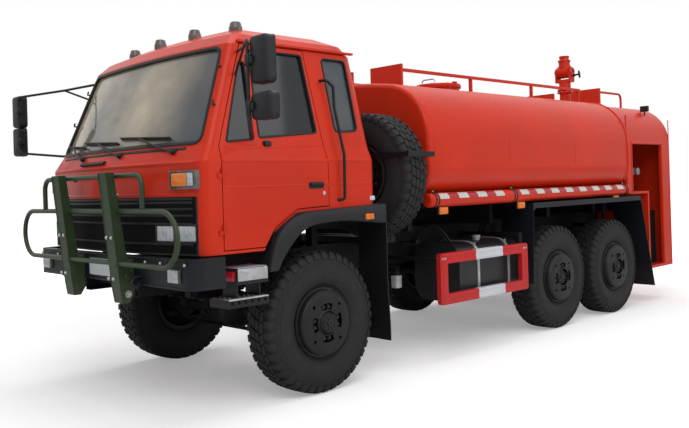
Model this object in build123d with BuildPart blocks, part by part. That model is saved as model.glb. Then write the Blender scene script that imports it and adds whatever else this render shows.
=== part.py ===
"""Forest fire tanker on a six-wheel-drive off-road truck chassis.

Millimetres. +X is the vehicle's left side, +Y its rear, +Z up.
The origin is on the ground, midway along the vehicle.
"""
from build123d import *
from functools import cache
import math
import os

os.makedirs("parts", exist_ok=True)

# Overall layout, with lengths along Y measured from the front axle
front_reach = 1450.0
rear_reach = 6425.0
axle_1 = (front_reach - rear_reach) / 2
wheelbase = 3475.0
tandem_gap = 1250.0
axle_2 = axle_1 + wheelbase
axle_3 = axle_2 + tandem_gap
half_track = 1005.0
body_seat = 0.3
moving_gap = 8.0

# Tyres and rims
tyre_r = 560.0
tyre_half_width = 157.5
tread_half_width = 128.0
shoulder_drop = 18.0
lug_count = 34
lug_share = 0.58
lug_depth = 15.0
lug_root_r = tyre_r - lug_depth - 15
lug_ring_bore = lug_root_r - 10
rib_half_width = 66.0
lug_length = 62.0
bead_r = 254.0
bead_half_width = 105.0
rim_flange_r = 276.0
rim_flange_width = 13.0
rim_barrel_wall = 12.0
rim_disc_out = 62.0
rim_disc_wall = 16.0
rim_face_r = 165.0
hand_hole_count = 4
hand_hole_pitch_r = 196.0
hub_r = 112.0
hub_in = 70.0
nose_r = 92.0
nose_out_front = 218.0
nose_out_rear = 176.0
spindle_r = 45.0
spindle_reach = 90.0
running_gap = 0.5

# Axles, kingpins and steering
axle_z = tyre_r
axle_tube_r = 62.0
kingpin_x = 812.0
ball_r = 95.0
knuckle_wall = 28.0
knuckle_open_x = 20.0
diff_r = 168.0
arm_back = 190.0
tie_rod_z = 345.0
tie_rod_r = 17.0
tie_pin_r = 12.0
tie_eye_r = 24.0

# Frame
rail_out_x = 430.0
rail_flange = 80.0
rail_wall = 10.0
rail_bottom = 840.0
rail_height = 250.0
rail_top = rail_bottom + rail_height
subframe_height = 100.0
subframe_width = 70.0
saddle_wall = 60.0
spring_x = rail_out_x - rail_flange / 2
spring_width = 76.0
front_spring_half = 720.0

# Side guards
guard_x = 1205.0
guard_front = axle_1 + 1355.0
guard_rear = axle_1 + 2750.0
guard_low = 520.0
guard_high = 985.0
guard_bar = 105.0
guard_wall = 45.0

# Bumper and bull bar
bumper_front = axle_1 - 1250.0
bumper_wall = 50.0
bumper_half = 1235.0
bumper_bottom = 945.0
bumper_top = 1160.0
bumper_side_end = axle_1 - 980.0
bumper_corner_r = 120.0

# Cab
cab_wall = 45.0
cab_bottom = 1172.0
belt_z = 1830.0
sill_height = 20.0
door_front = axle_1 - 950.0
door_rear = axle_1 + 70.0
door_top = 2700.0
glass_wall = 5.0
glass_depth = 18.0

# Tank
tank_front = axle_1 + 1280.0
tank_rear = axle_1 + 5060.0
tank_half = 1200.0
tank_bottom = 1500.0
tank_eave = 2470.0
tank_top = 2622.0
tank_low_r = 260.0
tank_shoulder_r = 540.0
tank_end_r = 45.0
pipe_r = 66.0
pipe_x = 1153.0
pipe_z = 1469.0

# Pump cabin
cabin_front = axle_1 + 5080.0
cabin_rear = axle_1 + 6300.0
cabin_half = 1150.0
cabin_wall = 35.0
cabin_foot = 440.0
cabin_floor = 1400.0
cabin_low_front = axle_1 + 5640.0
cabin_eave = 2450.0
cabin_top = 2600.0
cabin_low_r = 20.0
cabin_shoulder_r = 480.0
bay_front = axle_1 + 5250.0
bay_rear = axle_1 + 6060.0
bay_top = 2030.0


def keep(piece, label):
    """Labels a finished piece and writes its STEP file."""
    piece.part.label = label
    export_step(piece.part, "parts/" + label + ".step")


def side_view(x):
    """A plane seen from the left side: local x is the vehicle's Y, local y its Z."""
    return Plane(origin=(x, 0, 0), x_dir=(0, 1, 0), z_dir=(1, 0, 0))


def front_view(y):
    """A plane whose local x is the vehicle's X and local y its Z; its normal points to the rear."""
    return Plane(origin=(0, y, 0), x_dir=(-1, 0, 0), z_dir=(0, 1, 0))


def lug_ring(start, turn):
    """The lugs of one shoulder as a toothed ring about the X axis; its roots lie inside the carcass."""
    corners = []
    for number in range(lug_count):
        for radius, share in ((lug_root_r, -1), (tyre_r, -1), (tyre_r, 1), (lug_root_r, 1)):
            angle = (2 * number + turn + share * lug_share) * math.pi / lug_count
            corners.append((radius * math.cos(angle), radius * math.sin(angle)))
    with BuildPart() as ring:
        with BuildSketch(Plane.YZ.offset(start)):
            with BuildLine():
                Polyline(*corners, close=True)
            make_face()
            Circle(lug_ring_bore, mode=Mode.SUBTRACT)
        extrude(amount=lug_length)
    return ring


@cache
def tyre_body():
    """A tyre about the X axis at the origin: carcass, centre rib and two rings of shoulder lugs."""
    with BuildPart() as tyre:
        with BuildSketch(Plane(origin=(0, 0, 0), x_dir=(1, 0, 0), z_dir=(0, -1, 0))):
            with BuildLine():
                foot = (bead_half_width, bead_r)
                flange_top = (bead_half_width, rim_flange_r + 4)
                bulge = (tyre_half_width, (bead_r + tyre_r) / 2)
                shoulder = (tread_half_width, tyre_r - shoulder_drop)
                Line(foot, flange_top)
                ThreePointArc(flange_top, bulge, shoulder)
                Polyline(
                    shoulder,
                    (tread_half_width - shoulder_drop, tyre_r - lug_depth),
                    (rib_half_width, tyre_r - lug_depth),
                    (rib_half_width, tyre_r),
                    (0, tyre_r),
                    (0, bead_r),
                    foot,
                )
            make_face()
            mirror(about=Plane.YZ)
        revolve(axis=Axis.X)
        add(lug_ring(rib_half_width - 1, 0).part)
        add(lug_ring(-rib_half_width + 1 - lug_length, 1).part)
    return tyre


def tyre_piece(place):
    """A tyre moved to its place."""
    with BuildPart() as tyre:
        add(tyre_body().part.moved(place))
    return tyre


def rim_piece(plane, axis, nose_out, bored):
    """A wheel rim with its disc and hub; outboard is the plane's local +x."""
    with BuildPart() as rim:
        barrel_out = bead_r - body_seat
        flange_in = bead_half_width + body_seat
        flange_out = flange_in + rim_flange_width
        with BuildSketch(plane):
            with BuildLine():
                Polyline(
                    (-flange_out, barrel_out - rim_barrel_wall),
                    (-flange_out, rim_flange_r),
                    (-flange_in, rim_flange_r),
                    (-flange_in, barrel_out),
                    (flange_in, barrel_out),
                    (flange_in, rim_flange_r),
                    (flange_out, rim_flange_r),
                    (flange_out, barrel_out - rim_barrel_wall),
                    close=True,
                )
            make_face()
        revolve(axis=axis)
        with BuildSketch(plane):
            with BuildLine():
                Polyline(
                    (-hub_in, 0),
                    (-hub_in, hub_r),
                    (rim_disc_out - rim_disc_wall, hub_r),
                    (rim_disc_out - rim_disc_wall, rim_face_r),
                    (0, barrel_out - rim_barrel_wall / 2),
                    (rim_disc_wall, barrel_out - rim_barrel_wall / 2),
                    (rim_disc_out, rim_face_r + rim_disc_wall / 2),
                    (rim_disc_out, hub_r),
                    (nose_out - 40, nose_r),
                    (nose_out, nose_r - 22),
                    (nose_out, 0),
                    close=True,
                )
            make_face()
        revolve(axis=axis)
        disc_plane = Plane(origin=plane.origin, x_dir=plane.y_dir, z_dir=plane.x_dir)
        with BuildSketch(disc_plane):
            with PolarLocations(hand_hole_pitch_r, hand_hole_count, start_angle=45):
                SlotOverall(84, 44, rotation=90)
        extrude(amount=rim_disc_out + 20, mode=Mode.SUBTRACT)
        if bored:
            with BuildSketch(disc_plane.offset(-hub_in - 1)):
                Circle(spindle_r + running_gap)
            extrude(amount=hub_in + 1 + spindle_reach + running_gap, mode=Mode.SUBTRACT)
    return rim


def wheel_plane(side, y):
    """The plane of one road wheel, with local +x pointing outboard."""
    return Plane(origin=(side * half_track, y, axle_z), x_dir=(side, 0, 0), z_dir=(0, -side, 0))


# Road wheels: name of the corner, side, axle position, outboard reach of the hub nose
wheel_table = (
    ("front_left", 1, axle_1, nose_out_front),
    ("front_right", -1, axle_1, nose_out_front),
    ("middle_left", 1, axle_2, nose_out_rear),
    ("middle_right", -1, axle_2, nose_out_rear),
    ("rear_left", 1, axle_3, nose_out_rear),
    ("rear_right", -1, axle_3, nose_out_rear),
)
for corner, side, y, nose_out in wheel_table:
    plane = wheel_plane(side, y)
    axis = Axis((side * half_track, y, axle_z), (1, 0, 0))
    keep(tyre_piece(Location((side * half_track, y, axle_z))), "tyre_" + corner)
    keep(rim_piece(plane, axis, nose_out, True), "rim_" + corner)


# Axles: turned housings, the front one ending in balls for the knuckles, the rear ones in spindles
diff_nose_r = 125.0
diff_nose_reach = 198.0
shoulder_x = half_track - hub_in - body_seat
spindle_end = half_track + spindle_reach
# Axle position and the way its input nose points
axle_table = ((axle_1, 1), (axle_2, -1), (axle_3, -1))


def meet(outer_r, inner_r):
    """How far out along the axle a ball of one radius meets a tube of another."""
    return math.sqrt(outer_r**2 - inner_r**2)


def arc_middle(r, low_r):
    """The middle of a ball's outline between its top and where a tube meets it."""
    angle = (math.pi / 2 + math.asin(low_r / r)) / 2
    return (r * math.cos(angle), r * math.sin(angle))


with BuildPart() as axles:
    for y, nose in axle_table:
        front = y == axle_1
        tube_r = axle_tube_r if front else axle_tube_r + 10
        with BuildSketch(Plane(origin=(0, y, axle_z), x_dir=(1, 0, 0), z_dir=(0, -1, 0))):
            with BuildLine():
                housing_end = (meet(diff_r, tube_r), tube_r)
                ThreePointArc((0, diff_r), arc_middle(diff_r, tube_r), housing_end)
                if front:
                    ball_start = (kingpin_x - meet(ball_r, tube_r), tube_r)
                    Line(housing_end, ball_start)
                    ThreePointArc(ball_start, (kingpin_x, ball_r), (kingpin_x + ball_r, 0))
                    Line((kingpin_x + ball_r, 0), (0, 0))
                else:
                    Polyline(
                        housing_end,
                        (shoulder_x, tube_r),
                        (shoulder_x, spindle_r),
                        (spindle_end, spindle_r),
                        (spindle_end, 0),
                        (0, 0),
                    )
                Line((0, 0), (0, diff_r))
            make_face()
            mirror(about=Plane.YZ)
        revolve(axis=Axis((0, y, axle_z), (1, 0, 0)))
        with BuildSketch(Plane(origin=(0, y, axle_z), x_dir=(1, 0, 0), z_dir=(0, nose, 0))):
            Circle(diff_nose_r)
        extrude(amount=diff_nose_reach)
    with BuildSketch(Plane(origin=(0, axle_2, axle_z), x_dir=(1, 0, 0), z_dir=(0, 1, 0))):
        Circle(70)
    extrude(amount=diff_nose_reach)
    for y, nose in axle_table:
        for side in (-1, 1):
            with Locations((side * spring_x, y, axle_z + axle_tube_r / 2)):
                Box(spring_width + 14, 150, axle_tube_r + 40)
keep(axles, "axles")

# Steering knuckles: a half shell round the axle's ball, with kingpin caps, spindle and steering arm
knuckle_r = ball_r + running_gap + knuckle_wall
cap_r = 46.0
cap_reach = 140.0
arm_wall = 26.0
for name, side in (("left", 1), ("right", -1)):
    centre = (side * kingpin_x, axle_1, axle_z)
    profile_plane = Plane(origin=centre, x_dir=(side, 0, 0), z_dir=(0, -side, 0))
    arm_end = (side * kingpin_x, axle_1 + arm_back)
    with BuildPart() as knuckle:
        with BuildSketch(profile_plane):
            with BuildLine():
                open_top = (-knuckle_open_x, meet(knuckle_r, knuckle_open_x))
                flange_r = hub_r - 20
                flange_start = (meet(knuckle_r, flange_r), flange_r)
                flange_x = shoulder_x - kingpin_x
                ThreePointArc(open_top, arc_middle(knuckle_r, flange_r), flange_start)
                Polyline(
                    flange_start,
                    (flange_x, flange_r),
                    (flange_x, spindle_r),
                    (spindle_end - kingpin_x, spindle_r),
                    (spindle_end - kingpin_x, 0),
                    (-knuckle_open_x, 0),
                    open_top,
                )
            make_face()
        revolve(axis=Axis(centre, (1, 0, 0)))
        with BuildSketch(Plane.XY.offset(axle_z - cap_reach)):
            with Locations((side * (kingpin_x + 30), axle_1)):
                Circle(cap_r)
        extrude(amount=2 * cap_reach)
        with BuildSketch(Plane.XY.offset(axle_z - cap_reach - arm_wall)):
            with Locations(arm_end):
                Circle(24)
            with BuildLine():
                Polyline(
                    (side * (kingpin_x - 20), axle_1 - 20),
                    (side * (kingpin_x + 70), axle_1 - 20),
                    (arm_end[0] + side * 23, arm_end[1]),
                    (arm_end[0] - side * 23, arm_end[1]),
                    close=True,
                )
            make_face()
        extrude(amount=arm_wall)
        with BuildSketch(Plane.XY.offset(tie_rod_z - 25)):
            with Locations(arm_end):
                Circle(tie_pin_r)
        extrude(amount=axle_z - cap_reach - arm_wall - tie_rod_z + 26)
        with BuildSketch(profile_plane):
            with BuildLine():
                cavity_r = ball_r + running_gap
                cavity_open = (-knuckle_open_x - 20, meet(cavity_r, knuckle_open_x + 20))
                ThreePointArc(cavity_open, (cavity_r * 0.6, cavity_r * 0.8), (cavity_r, 0))
                Polyline((cavity_r, 0), (-knuckle_open_x - 20, 0), cavity_open)
            make_face()
        revolve(axis=Axis(centre, (1, 0, 0)), mode=Mode.SUBTRACT)
    keep(knuckle, "knuckle_" + name)

# Tie rod between the two steering arms
with BuildPart() as tie_rod:
    arm_x = kingpin_x
    with BuildSketch(Plane.YZ.offset(-arm_x)):
        with Locations((axle_1 + arm_back, tie_rod_z)):
            Circle(tie_rod_r)
    extrude(amount=2 * arm_x)
    for side in (-1, 1):
        with BuildSketch(Plane.XY.offset(tie_rod_z - 22)):
            with Locations((side * arm_x, axle_1 + arm_back)):
                Circle(tie_eye_r)
        extrude(amount=44)
    for side in (-1, 1):
        with BuildSketch(Plane.XY.offset(tie_rod_z - 30)):
            with Locations((side * arm_x, axle_1 + arm_back)):
                Circle(tie_pin_r + running_gap)
        extrude(amount=60, mode=Mode.SUBTRACT)
keep(tie_rod, "tie_rod")

# Leaf springs: the front packs curve upward, the rear ones hang on a pivot between the two axles
leaf_wall = 14.0
leaf_count = 6
leaf_pitch = leaf_wall - 0.2
pack_height = (leaf_count - 1) * leaf_pitch + leaf_wall
spring_rise = 60.0
spring_seat = axle_z + axle_tube_r + 20 + body_seat
rear_spring_half = tandem_gap / 2 + 90
rear_pivot = (axle_2 + axle_3) / 2


def leaf(middle, half, low, end_low):
    """One leaf seen from the side, drawn as a face between two arcs."""
    with BuildSketch() as sketch:
        with BuildLine():
            ThreePointArc((middle - half, end_low), (middle, low), (middle + half, end_low))
            Line((middle + half, end_low), (middle + half, end_low + leaf_wall))
            ThreePointArc(
                (middle + half, end_low + leaf_wall),
                (middle, low + leaf_wall),
                (middle - half, end_low + leaf_wall),
            )
            Line((middle - half, end_low + leaf_wall), (middle - half, end_low))
        make_face()
    return sketch.sketch


with BuildPart() as leaf_springs:
    for side in (-1, 1):
        with BuildSketch(side_view(side * spring_x - spring_width / 2)):
            for number in range(leaf_count):
                share = 1 - 0.13 * number
                low = spring_seat + (leaf_count - 1 - number) * leaf_pitch
                add(leaf(axle_1, front_spring_half * share, low, low + spring_rise * share**2))
                low = spring_seat + number * leaf_pitch
                end_low = low + spring_rise * (1 - share**2)
                add(leaf(rear_pivot, rear_spring_half * share, low + spring_rise, end_low))
        extrude(amount=spring_width)
keep(leaf_springs, "leaf_springs")

# Lower edge of the cab seen from the side, over the front wheel: distance behind the axle, height
cab_edge = ((-1400, cab_bottom), (-600, cab_bottom), (-505, 1306), (-283, 1436), (800, 1473))


def edge_height(behind):
    """Height of the cab's lower edge at a distance behind the front axle."""
    for (y0, z0), (y1, z1) in zip(cab_edge, cab_edge[1:]):
        if y0 <= behind <= y1:
            return z0 + (z1 - z0) * (behind - y0) / (y1 - y0)
    return cab_edge[-1][1]


# Frame: two channel rails, crossmembers, spring hangers, tank subframe and saddles
rail_front = bumper_front + bumper_wall
rail_rear = axle_1 + 6150.0
subframe_front = tank_front + 20
subframe_top = rail_top + subframe_height
crossmember_behind = (-1080.0, 1800.0, 2700.0, 4100.0, 5350.0, 6080.0)
# Saddles: distance behind the front axle, half width low down, half width at the top, top height
pipe_side = pipe_x - pipe_r - body_seat
saddle_table = (
    (1330.0, 900.0, pipe_side, tank_bottom),
    (2600.0, 900.0, pipe_side, tank_bottom),
    (3850.0, 800.0, pipe_side, tank_bottom),
    (4900.0, 800.0, pipe_side, tank_bottom),
    (5200.0, 800.0, 800.0, cabin_floor),
    (5450.0, 800.0, 800.0, cabin_floor),
)
fender_top = 1385.0
# Guard brackets: position along the vehicle and height of the arm; the rear one passes over the fuel tank
guard_arm_table = (
    (guard_front + 50, guard_high - 60),
    (guard_rear - 50, rail_top - 15),
)
guard_arm = 30.0
guard_inner = guard_x - guard_wall / 2 - body_seat
with BuildPart() as frame_rails:
    for side in (-1, 1):
        with BuildSketch(front_view(rail_front)):
            with BuildLine():
                web = -side * rail_out_x
                Polyline(
                    (web, rail_bottom),
                    (web, rail_top),
                    (web + side * rail_flange, rail_top),
                    (web + side * rail_flange, rail_top - rail_wall),
                    (web + side * rail_wall, rail_top - rail_wall),
                    (web + side * rail_wall, rail_bottom + rail_wall),
                    (web + side * rail_flange, rail_bottom + rail_wall),
                    (web + side * rail_flange, rail_bottom),
                    close=True,
                )
            make_face()
        extrude(amount=rail_rear - rail_front)
        with BuildSketch(Plane.XY.offset(rail_top)):
            with Locations((side * (rail_out_x - subframe_width / 2), (subframe_front + rail_rear) / 2)):
                Rectangle(subframe_width, rail_rear - subframe_front)
        extrude(amount=subframe_height)
    for behind in crossmember_behind:
        with Locations((0, axle_1 + behind, rail_bottom + rail_height / 2)):
            Box(2 * rail_out_x - rail_wall, 70, 140)
    saddle_step = fender_top + 12
    for behind, half_low, half_high, top in saddle_table:
        with BuildSketch(front_view(axle_1 + behind - saddle_wall / 2)):
            with Locations((0, (subframe_top + saddle_step) / 2)):
                Rectangle(2 * half_low, saddle_step - subframe_top)
            with Locations((0, (saddle_step + top) / 2)):
                Rectangle(2 * half_high, top - saddle_step)
        extrude(amount=saddle_wall)
    hanger_z = spring_seat + pack_height + spring_rise
    for side in (-1, 1):
        for y in (axle_1 - front_spring_half, axle_1 + front_spring_half):
            with Locations((side * spring_x, y, (hanger_z + body_seat + rail_bottom) / 2)):
                Box(spring_width, 70, rail_bottom - hanger_z - body_seat)
        trunnion_z = spring_seat + spring_rise + pack_height
        with Locations((side * spring_x, rear_pivot, (trunnion_z + body_seat + rail_bottom) / 2)):
            Box(spring_width, 240, rail_bottom - trunnion_z - body_seat)
        mount_high = cab_bottom - body_seat
        with Locations((side * spring_x, axle_1 - 1000, (rail_top + mount_high) / 2)):
            Box(rail_flange, 90, mount_high - rail_top)
        mount_high = edge_height(530) - body_seat
        with Locations((side * spring_x, axle_1 + 565, (rail_top + mount_high) / 2)):
            Box(rail_flange, 70, mount_high - rail_top)
        for y, arm_z in guard_arm_table:
            with Locations((side * (rail_out_x + guard_inner) / 2, y, arm_z)):
                Box(guard_inner - rail_out_x, 50, guard_arm)
            foot_z = guard_high - 90
            with Locations((side * (guard_inner - guard_arm / 2), y, (foot_z + arm_z) / 2)):
                Box(guard_arm, 50, arm_z - foot_z)
keep(frame_rails, "frame_rails")

# Engine: one plain block between the rails, under the cab
with BuildPart() as engine_block:
    with Locations((0, axle_1 + 60, rail_bottom + 250)):
        Box(600, 920, 480)
keep(engine_block, "engine_block")

# Gearbox, transfer case and the shafts to the three axles
transfer_y = axle_1 + 1500.0
transfer_z = rail_bottom - 60.0
gearbox_z = rail_bottom + 100.0
gearbox_front = axle_1 + 520 + body_seat
with BuildPart() as driveline:
    with BuildSketch(front_view(gearbox_front)):
        with Locations((0, gearbox_z)):
            Circle(120)
    extrude(amount=560)
    with BuildSketch(front_view(gearbox_front)):
        with Locations((0, gearbox_z)):
            Circle(42)
    extrude(amount=transfer_y - gearbox_front)
    with Locations((0, transfer_y, rail_bottom + 60)):
        Box(420, 320, 360)
    for y, nose in axle_table[:2]:
        start = Vector(0, transfer_y, transfer_z)
        run = Vector(0, y + nose * 150, axle_z) - start
        with BuildSketch(Plane(origin=start, x_dir=(1, 0, 0), z_dir=run)):
            Circle(38)
        extrude(amount=run.length)
        with BuildSketch(Plane(origin=(0, y, axle_z), x_dir=(1, 0, 0), z_dir=(0, nose, 0))):
            Circle(diff_nose_r + body_seat)
        extrude(amount=diff_nose_reach + body_seat, mode=Mode.SUBTRACT)
    with BuildSketch(front_view(axle_2 + diff_nose_reach + body_seat)):
        with Locations((0, axle_z)):
            Circle(38)
    extrude(amount=tandem_gap - 2 * (diff_nose_reach + body_seat))
keep(driveline, "driveline")

# Bumper: a bent channel that wraps round the cab's front corners
with BuildPart() as bumper:
    with BuildSketch(Plane.XY.offset(bumper_bottom)):
        with BuildLine():
            Polyline(
                (-bumper_half, bumper_side_end),
                (-bumper_half, bumper_front),
                (bumper_half, bumper_front),
                (bumper_half, bumper_side_end),
                close=True,
            )
        make_face()
        front_corners = vertices().group_by(Axis.Y)[0]
        fillet(front_corners, bumper_corner_r)
        with BuildLine():
            inner = bumper_half - bumper_wall
            Polyline(
                (-inner, bumper_side_end + 1),
                (-inner, bumper_front + bumper_wall),
                (inner, bumper_front + bumper_wall),
                (inner, bumper_side_end + 1),
                close=True,
            )
        make_face(mode=Mode.SUBTRACT)
    extrude(amount=bumper_top - bumper_bottom)
keep(bumper, "bumper")

# Bull bar: two channel uprights, a top loop and a wide lower ring
bar_tube_r = 19.0
bar_y = bumper_front - 110.0
upright_x = 395.0
upright_width = 120.0
upright_top = 1775.0
upright_foot = 815.0
ring_half = 1240.0
ring_top = 1490.0
ring_bottom = 1110.0
loop_half = 800.0
loop_top = 1750.0
with BuildPart() as bull_bar:
    for side in (-1, 1):
        with BuildSketch(side_view(side * upright_x - upright_width / 2)):
            with BuildLine():
                front = axle_1 - front_reach
                Polyline(
                    (front, upright_top),
                    (front + 60, upright_top),
                    (bumper_front - 50, upright_foot + 300),
                    (bumper_front - body_seat, upright_foot + 320),
                    (bumper_front - body_seat, upright_foot + 60),
                    (bumper_front - 40, upright_foot),
                    (bumper_front - 95, upright_foot),
                    (bumper_front - 115, upright_foot + 100),
                    close=True,
                )
            make_face()
        extrude(amount=upright_width)
    ring_r = (ring_top - ring_bottom) / 2
    with BuildLine():
        ring_straight = ring_half - ring_r
        ring_middle = ring_top - ring_r
        left_ends = [(ring_straight, bar_y, z) for z in (ring_top, ring_bottom)]
        right_ends = [(-ring_straight, bar_y, z) for z in (ring_bottom, ring_top)]
        Line(right_ends[1], left_ends[0])
        ThreePointArc(left_ends[0], (ring_half, bar_y, ring_middle), left_ends[1])
        Line(left_ends[1], right_ends[0])
        ThreePointArc(right_ends[0], (-ring_half, bar_y, ring_middle), right_ends[1])
    with BuildSketch(Plane(origin=(0, bar_y, ring_top), x_dir=(0, 1, 0), z_dir=(1, 0, 0))):
        Circle(bar_tube_r)
    sweep()
    with BuildLine():
        FilletPolyline(
            (-loop_half, bar_y, ring_top),
            (-loop_half, bar_y, loop_top),
            (loop_half, bar_y, loop_top),
            (loop_half, bar_y, ring_top),
            radius=90,
        )
    with BuildSketch(Plane(origin=(-loop_half, bar_y, ring_top), x_dir=(1, 0, 0), z_dir=(0, 0, 1))):
        Circle(bar_tube_r)
    sweep()
keep(bull_bar, "bull_bar")

# Cab sections: height, half width, front at the middle and at the corner, rear, radii of the front
# and rear corners; lengths are behind the front axle
cab_sections = (
    (cab_bottom, 1190, -1250, -1105, 600, 70, 90),
    (belt_z, 1190, -1250, -1105, 620, 70, 110),
    (1945, 1158, -1185, -1035, 612, 70, 130),
    (2700, 1038, -830, -745, 545, 70, 150),
    (2785, 985, -735, -655, 500, 70, 150),
    (2862, 800, -560, -500, 380, 70, 110),
)


@cache
def cab_block(inset):
    """The cab's outer form, moved inward by the inset all round; a negative inset makes it larger."""
    with BuildPart() as block:
        for z, half, mid, corner, rear, front_r, rear_r in cab_sections:
            level = z - inset if z > 2750 else z
            with BuildSketch(Plane.XY.offset(level)):
                with BuildLine():
                    left = (half - inset, axle_1 + corner + inset)
                    right = (-half + inset, axle_1 + corner + inset)
                    ThreePointArc(left, (0, axle_1 + mid + inset), right)
                    Polyline(
                        right,
                        (-half + inset, axle_1 + rear - inset),
                        (half - inset, axle_1 + rear - inset),
                        left,
                    )
                make_face()
                by_y = vertices().group_by(Axis.Y)
                fillet(by_y[0], front_r - inset * 0.5)
                fillet(vertices().group_by(Axis.Y)[-1], rear_r - inset * 0.5)
        loft(ruled=True)
    return block


def below_edge(raise_by):
    """Everything under the cab's lower edge, with that edge raised."""
    with BuildPart() as below:
        with BuildSketch(side_view(-1500)):
            with BuildLine():
                points = [(axle_1 + y, z + raise_by) for y, z in cab_edge]
                Polyline(*points, (axle_1 + 800, 900), (axle_1 - 1400, 900), close=True)
            make_face()
        extrude(amount=3000)
    return below


def door_block(side, grow):
    """The space of a door seen from the side, narrowing inward at its rear edge."""
    relief = 70.0
    outer_x = 1300.0
    inner_x = 850.0
    outline = (
        (door_front - grow, cab_bottom + sill_height + moving_gap - grow),
        (axle_1 - 588 + grow * 0.5, cab_bottom + sill_height + moving_gap - grow),
        (axle_1 - 493 + grow * 0.5, 1306 + sill_height + moving_gap - grow),
        (axle_1 - 275, 1436 + sill_height + moving_gap - grow),
        (door_rear + grow, 1448 + sill_height + moving_gap - grow),
        (door_rear + grow, belt_z),
        (door_rear - 80 + grow, door_top + grow),
        (axle_1 - 655 - grow, door_top + grow),
        (door_front - grow, 1935.0),
    )
    with BuildPart() as block:
        for x, pull in ((outer_x, 0.0), (inner_x, relief)):
            with BuildSketch(side_view(side * x)):
                with BuildLine():
                    points = [(y - (pull if y > axle_1 - 100 else 0), z) for y, z in outline]
                    Polyline(*points, close=True)
                make_face()
        loft(ruled=True)
    return block


def door_windows(side, grow):
    """The door's front vent window and main window, seen from the side."""
    with BuildPart() as block:
        with BuildSketch(side_view(side * 850)):
            with BuildLine():
                Polyline(
                    (axle_1 - 885 - grow, 1965 - grow),
                    (axle_1 - 640 + grow, 1990 - grow),
                    (axle_1 - 640 + grow, 2560 + grow),
                    (axle_1 - 690 - grow, 2560 + grow),
                    close=True,
                )
            make_face()
            with BuildLine():
                Polyline(
                    (axle_1 - 585 - grow, 2000 - grow),
                    (axle_1 - 15 + grow, 2050 - grow),
                    (axle_1 - 75 + grow, 2660 + grow),
                    (axle_1 - 585 - grow, 2660 + grow),
                    close=True,
                )
            make_face()
            fillet(vertices(), 15)
        extrude(amount=side * 450)
    return block


def quarter_window(side, grow):
    """The fixed window behind the door."""
    with BuildPart() as block:
        with BuildSketch(side_view(side * 850)):
            with BuildLine():
                Polyline(
                    (axle_1 + 190 - grow, 2060 - grow),
                    (axle_1 + 440 + grow, 2075 - grow),
                    (axle_1 + 405 + grow, 2655 + grow),
                    (axle_1 + 145 - grow, 2655 + grow),
                    close=True,
                )
            make_face()
            fillet(vertices(), 35)
        extrude(amount=side * 450)
    return block


def end_window(y, half_low, half_high, low, high, depth, grow):
    """A window in the cab's front or rear wall."""
    with BuildPart() as block:
        with BuildSketch(front_view(y)):
            with BuildLine():
                Polyline(
                    (-half_low - grow, low - grow),
                    (half_low + grow, low - grow),
                    (half_high + grow, high + grow),
                    (-half_high - grow, high + grow),
                    close=True,
                )
            make_face()
            fillet(vertices(), 60)
        extrude(amount=depth)
    return block


windshield = (axle_1 - 1500, 1075.0, 965.0, 1965.0, 2672.0, 1100.0)
rear_window = (axle_1 + 400, 700.0, 640.0, 2100.0, 2600.0, 400.0)

# Door hinges: a sleeve on the cab takes a pin on the door; heights of the two hinges
hinge_x = 1204.0
hinge_y = door_front - 5.0
hinge_heights = (1340.0, 1740.0)
hinge_r = 10.0
hinge_pin_r = 5.0
hinge_half = 32.0
hinge_leaf = 34.0


def hinge_half_piece(side, upper):
    """The hinges' leaves and barrels on one side of the door gap; the upper barrels carry pins."""
    direction = 1 if upper else -1
    low = body_seat if upper else -hinge_half
    with BuildPart() as half:
        for z in hinge_heights:
            with BuildSketch(Plane.XY.offset(z + low)):
                with Locations((side * hinge_x, hinge_y)):
                    Circle(hinge_r)
                with Locations((side * (hinge_x - 9), hinge_y + direction * (4 + hinge_leaf / 2))):
                    Rectangle(18, hinge_leaf)
            extrude(amount=hinge_half - body_seat)
            if upper:
                with BuildSketch(Plane.XY.offset(z - hinge_half + 4)):
                    with Locations((side * hinge_x, hinge_y)):
                        Circle(hinge_pin_r)
                extrude(amount=hinge_half)
            else:
                with BuildSketch(Plane.XY.offset(z - hinge_half - 1)):
                    with Locations((side * hinge_x, hinge_y)):
                        Circle(hinge_pin_r + running_gap)
                extrude(amount=hinge_half + 2, mode=Mode.SUBTRACT)
    return half


cab_outer = cab_block(0)
cab_inner = cab_block(cab_wall)
grille_low = cab_bottom
grille_high = 1584.0
grille_half = 1125.0
grille_depth = 35.0
gutter_x = 1042.0
gutter_z = 2722.0
gutter_width = 34.0

with BuildPart() as cab_shell:
    add(cab_outer.part)
    add(below_edge(0).part, mode=Mode.SUBTRACT)
    with BuildPart(mode=Mode.PRIVATE) as hollow:
        add(cab_inner.part)
        add(below_edge(cab_wall).part, mode=Mode.SUBTRACT)
    add(hollow.part, mode=Mode.SUBTRACT)
cab_walls = cab_shell.part

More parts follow.
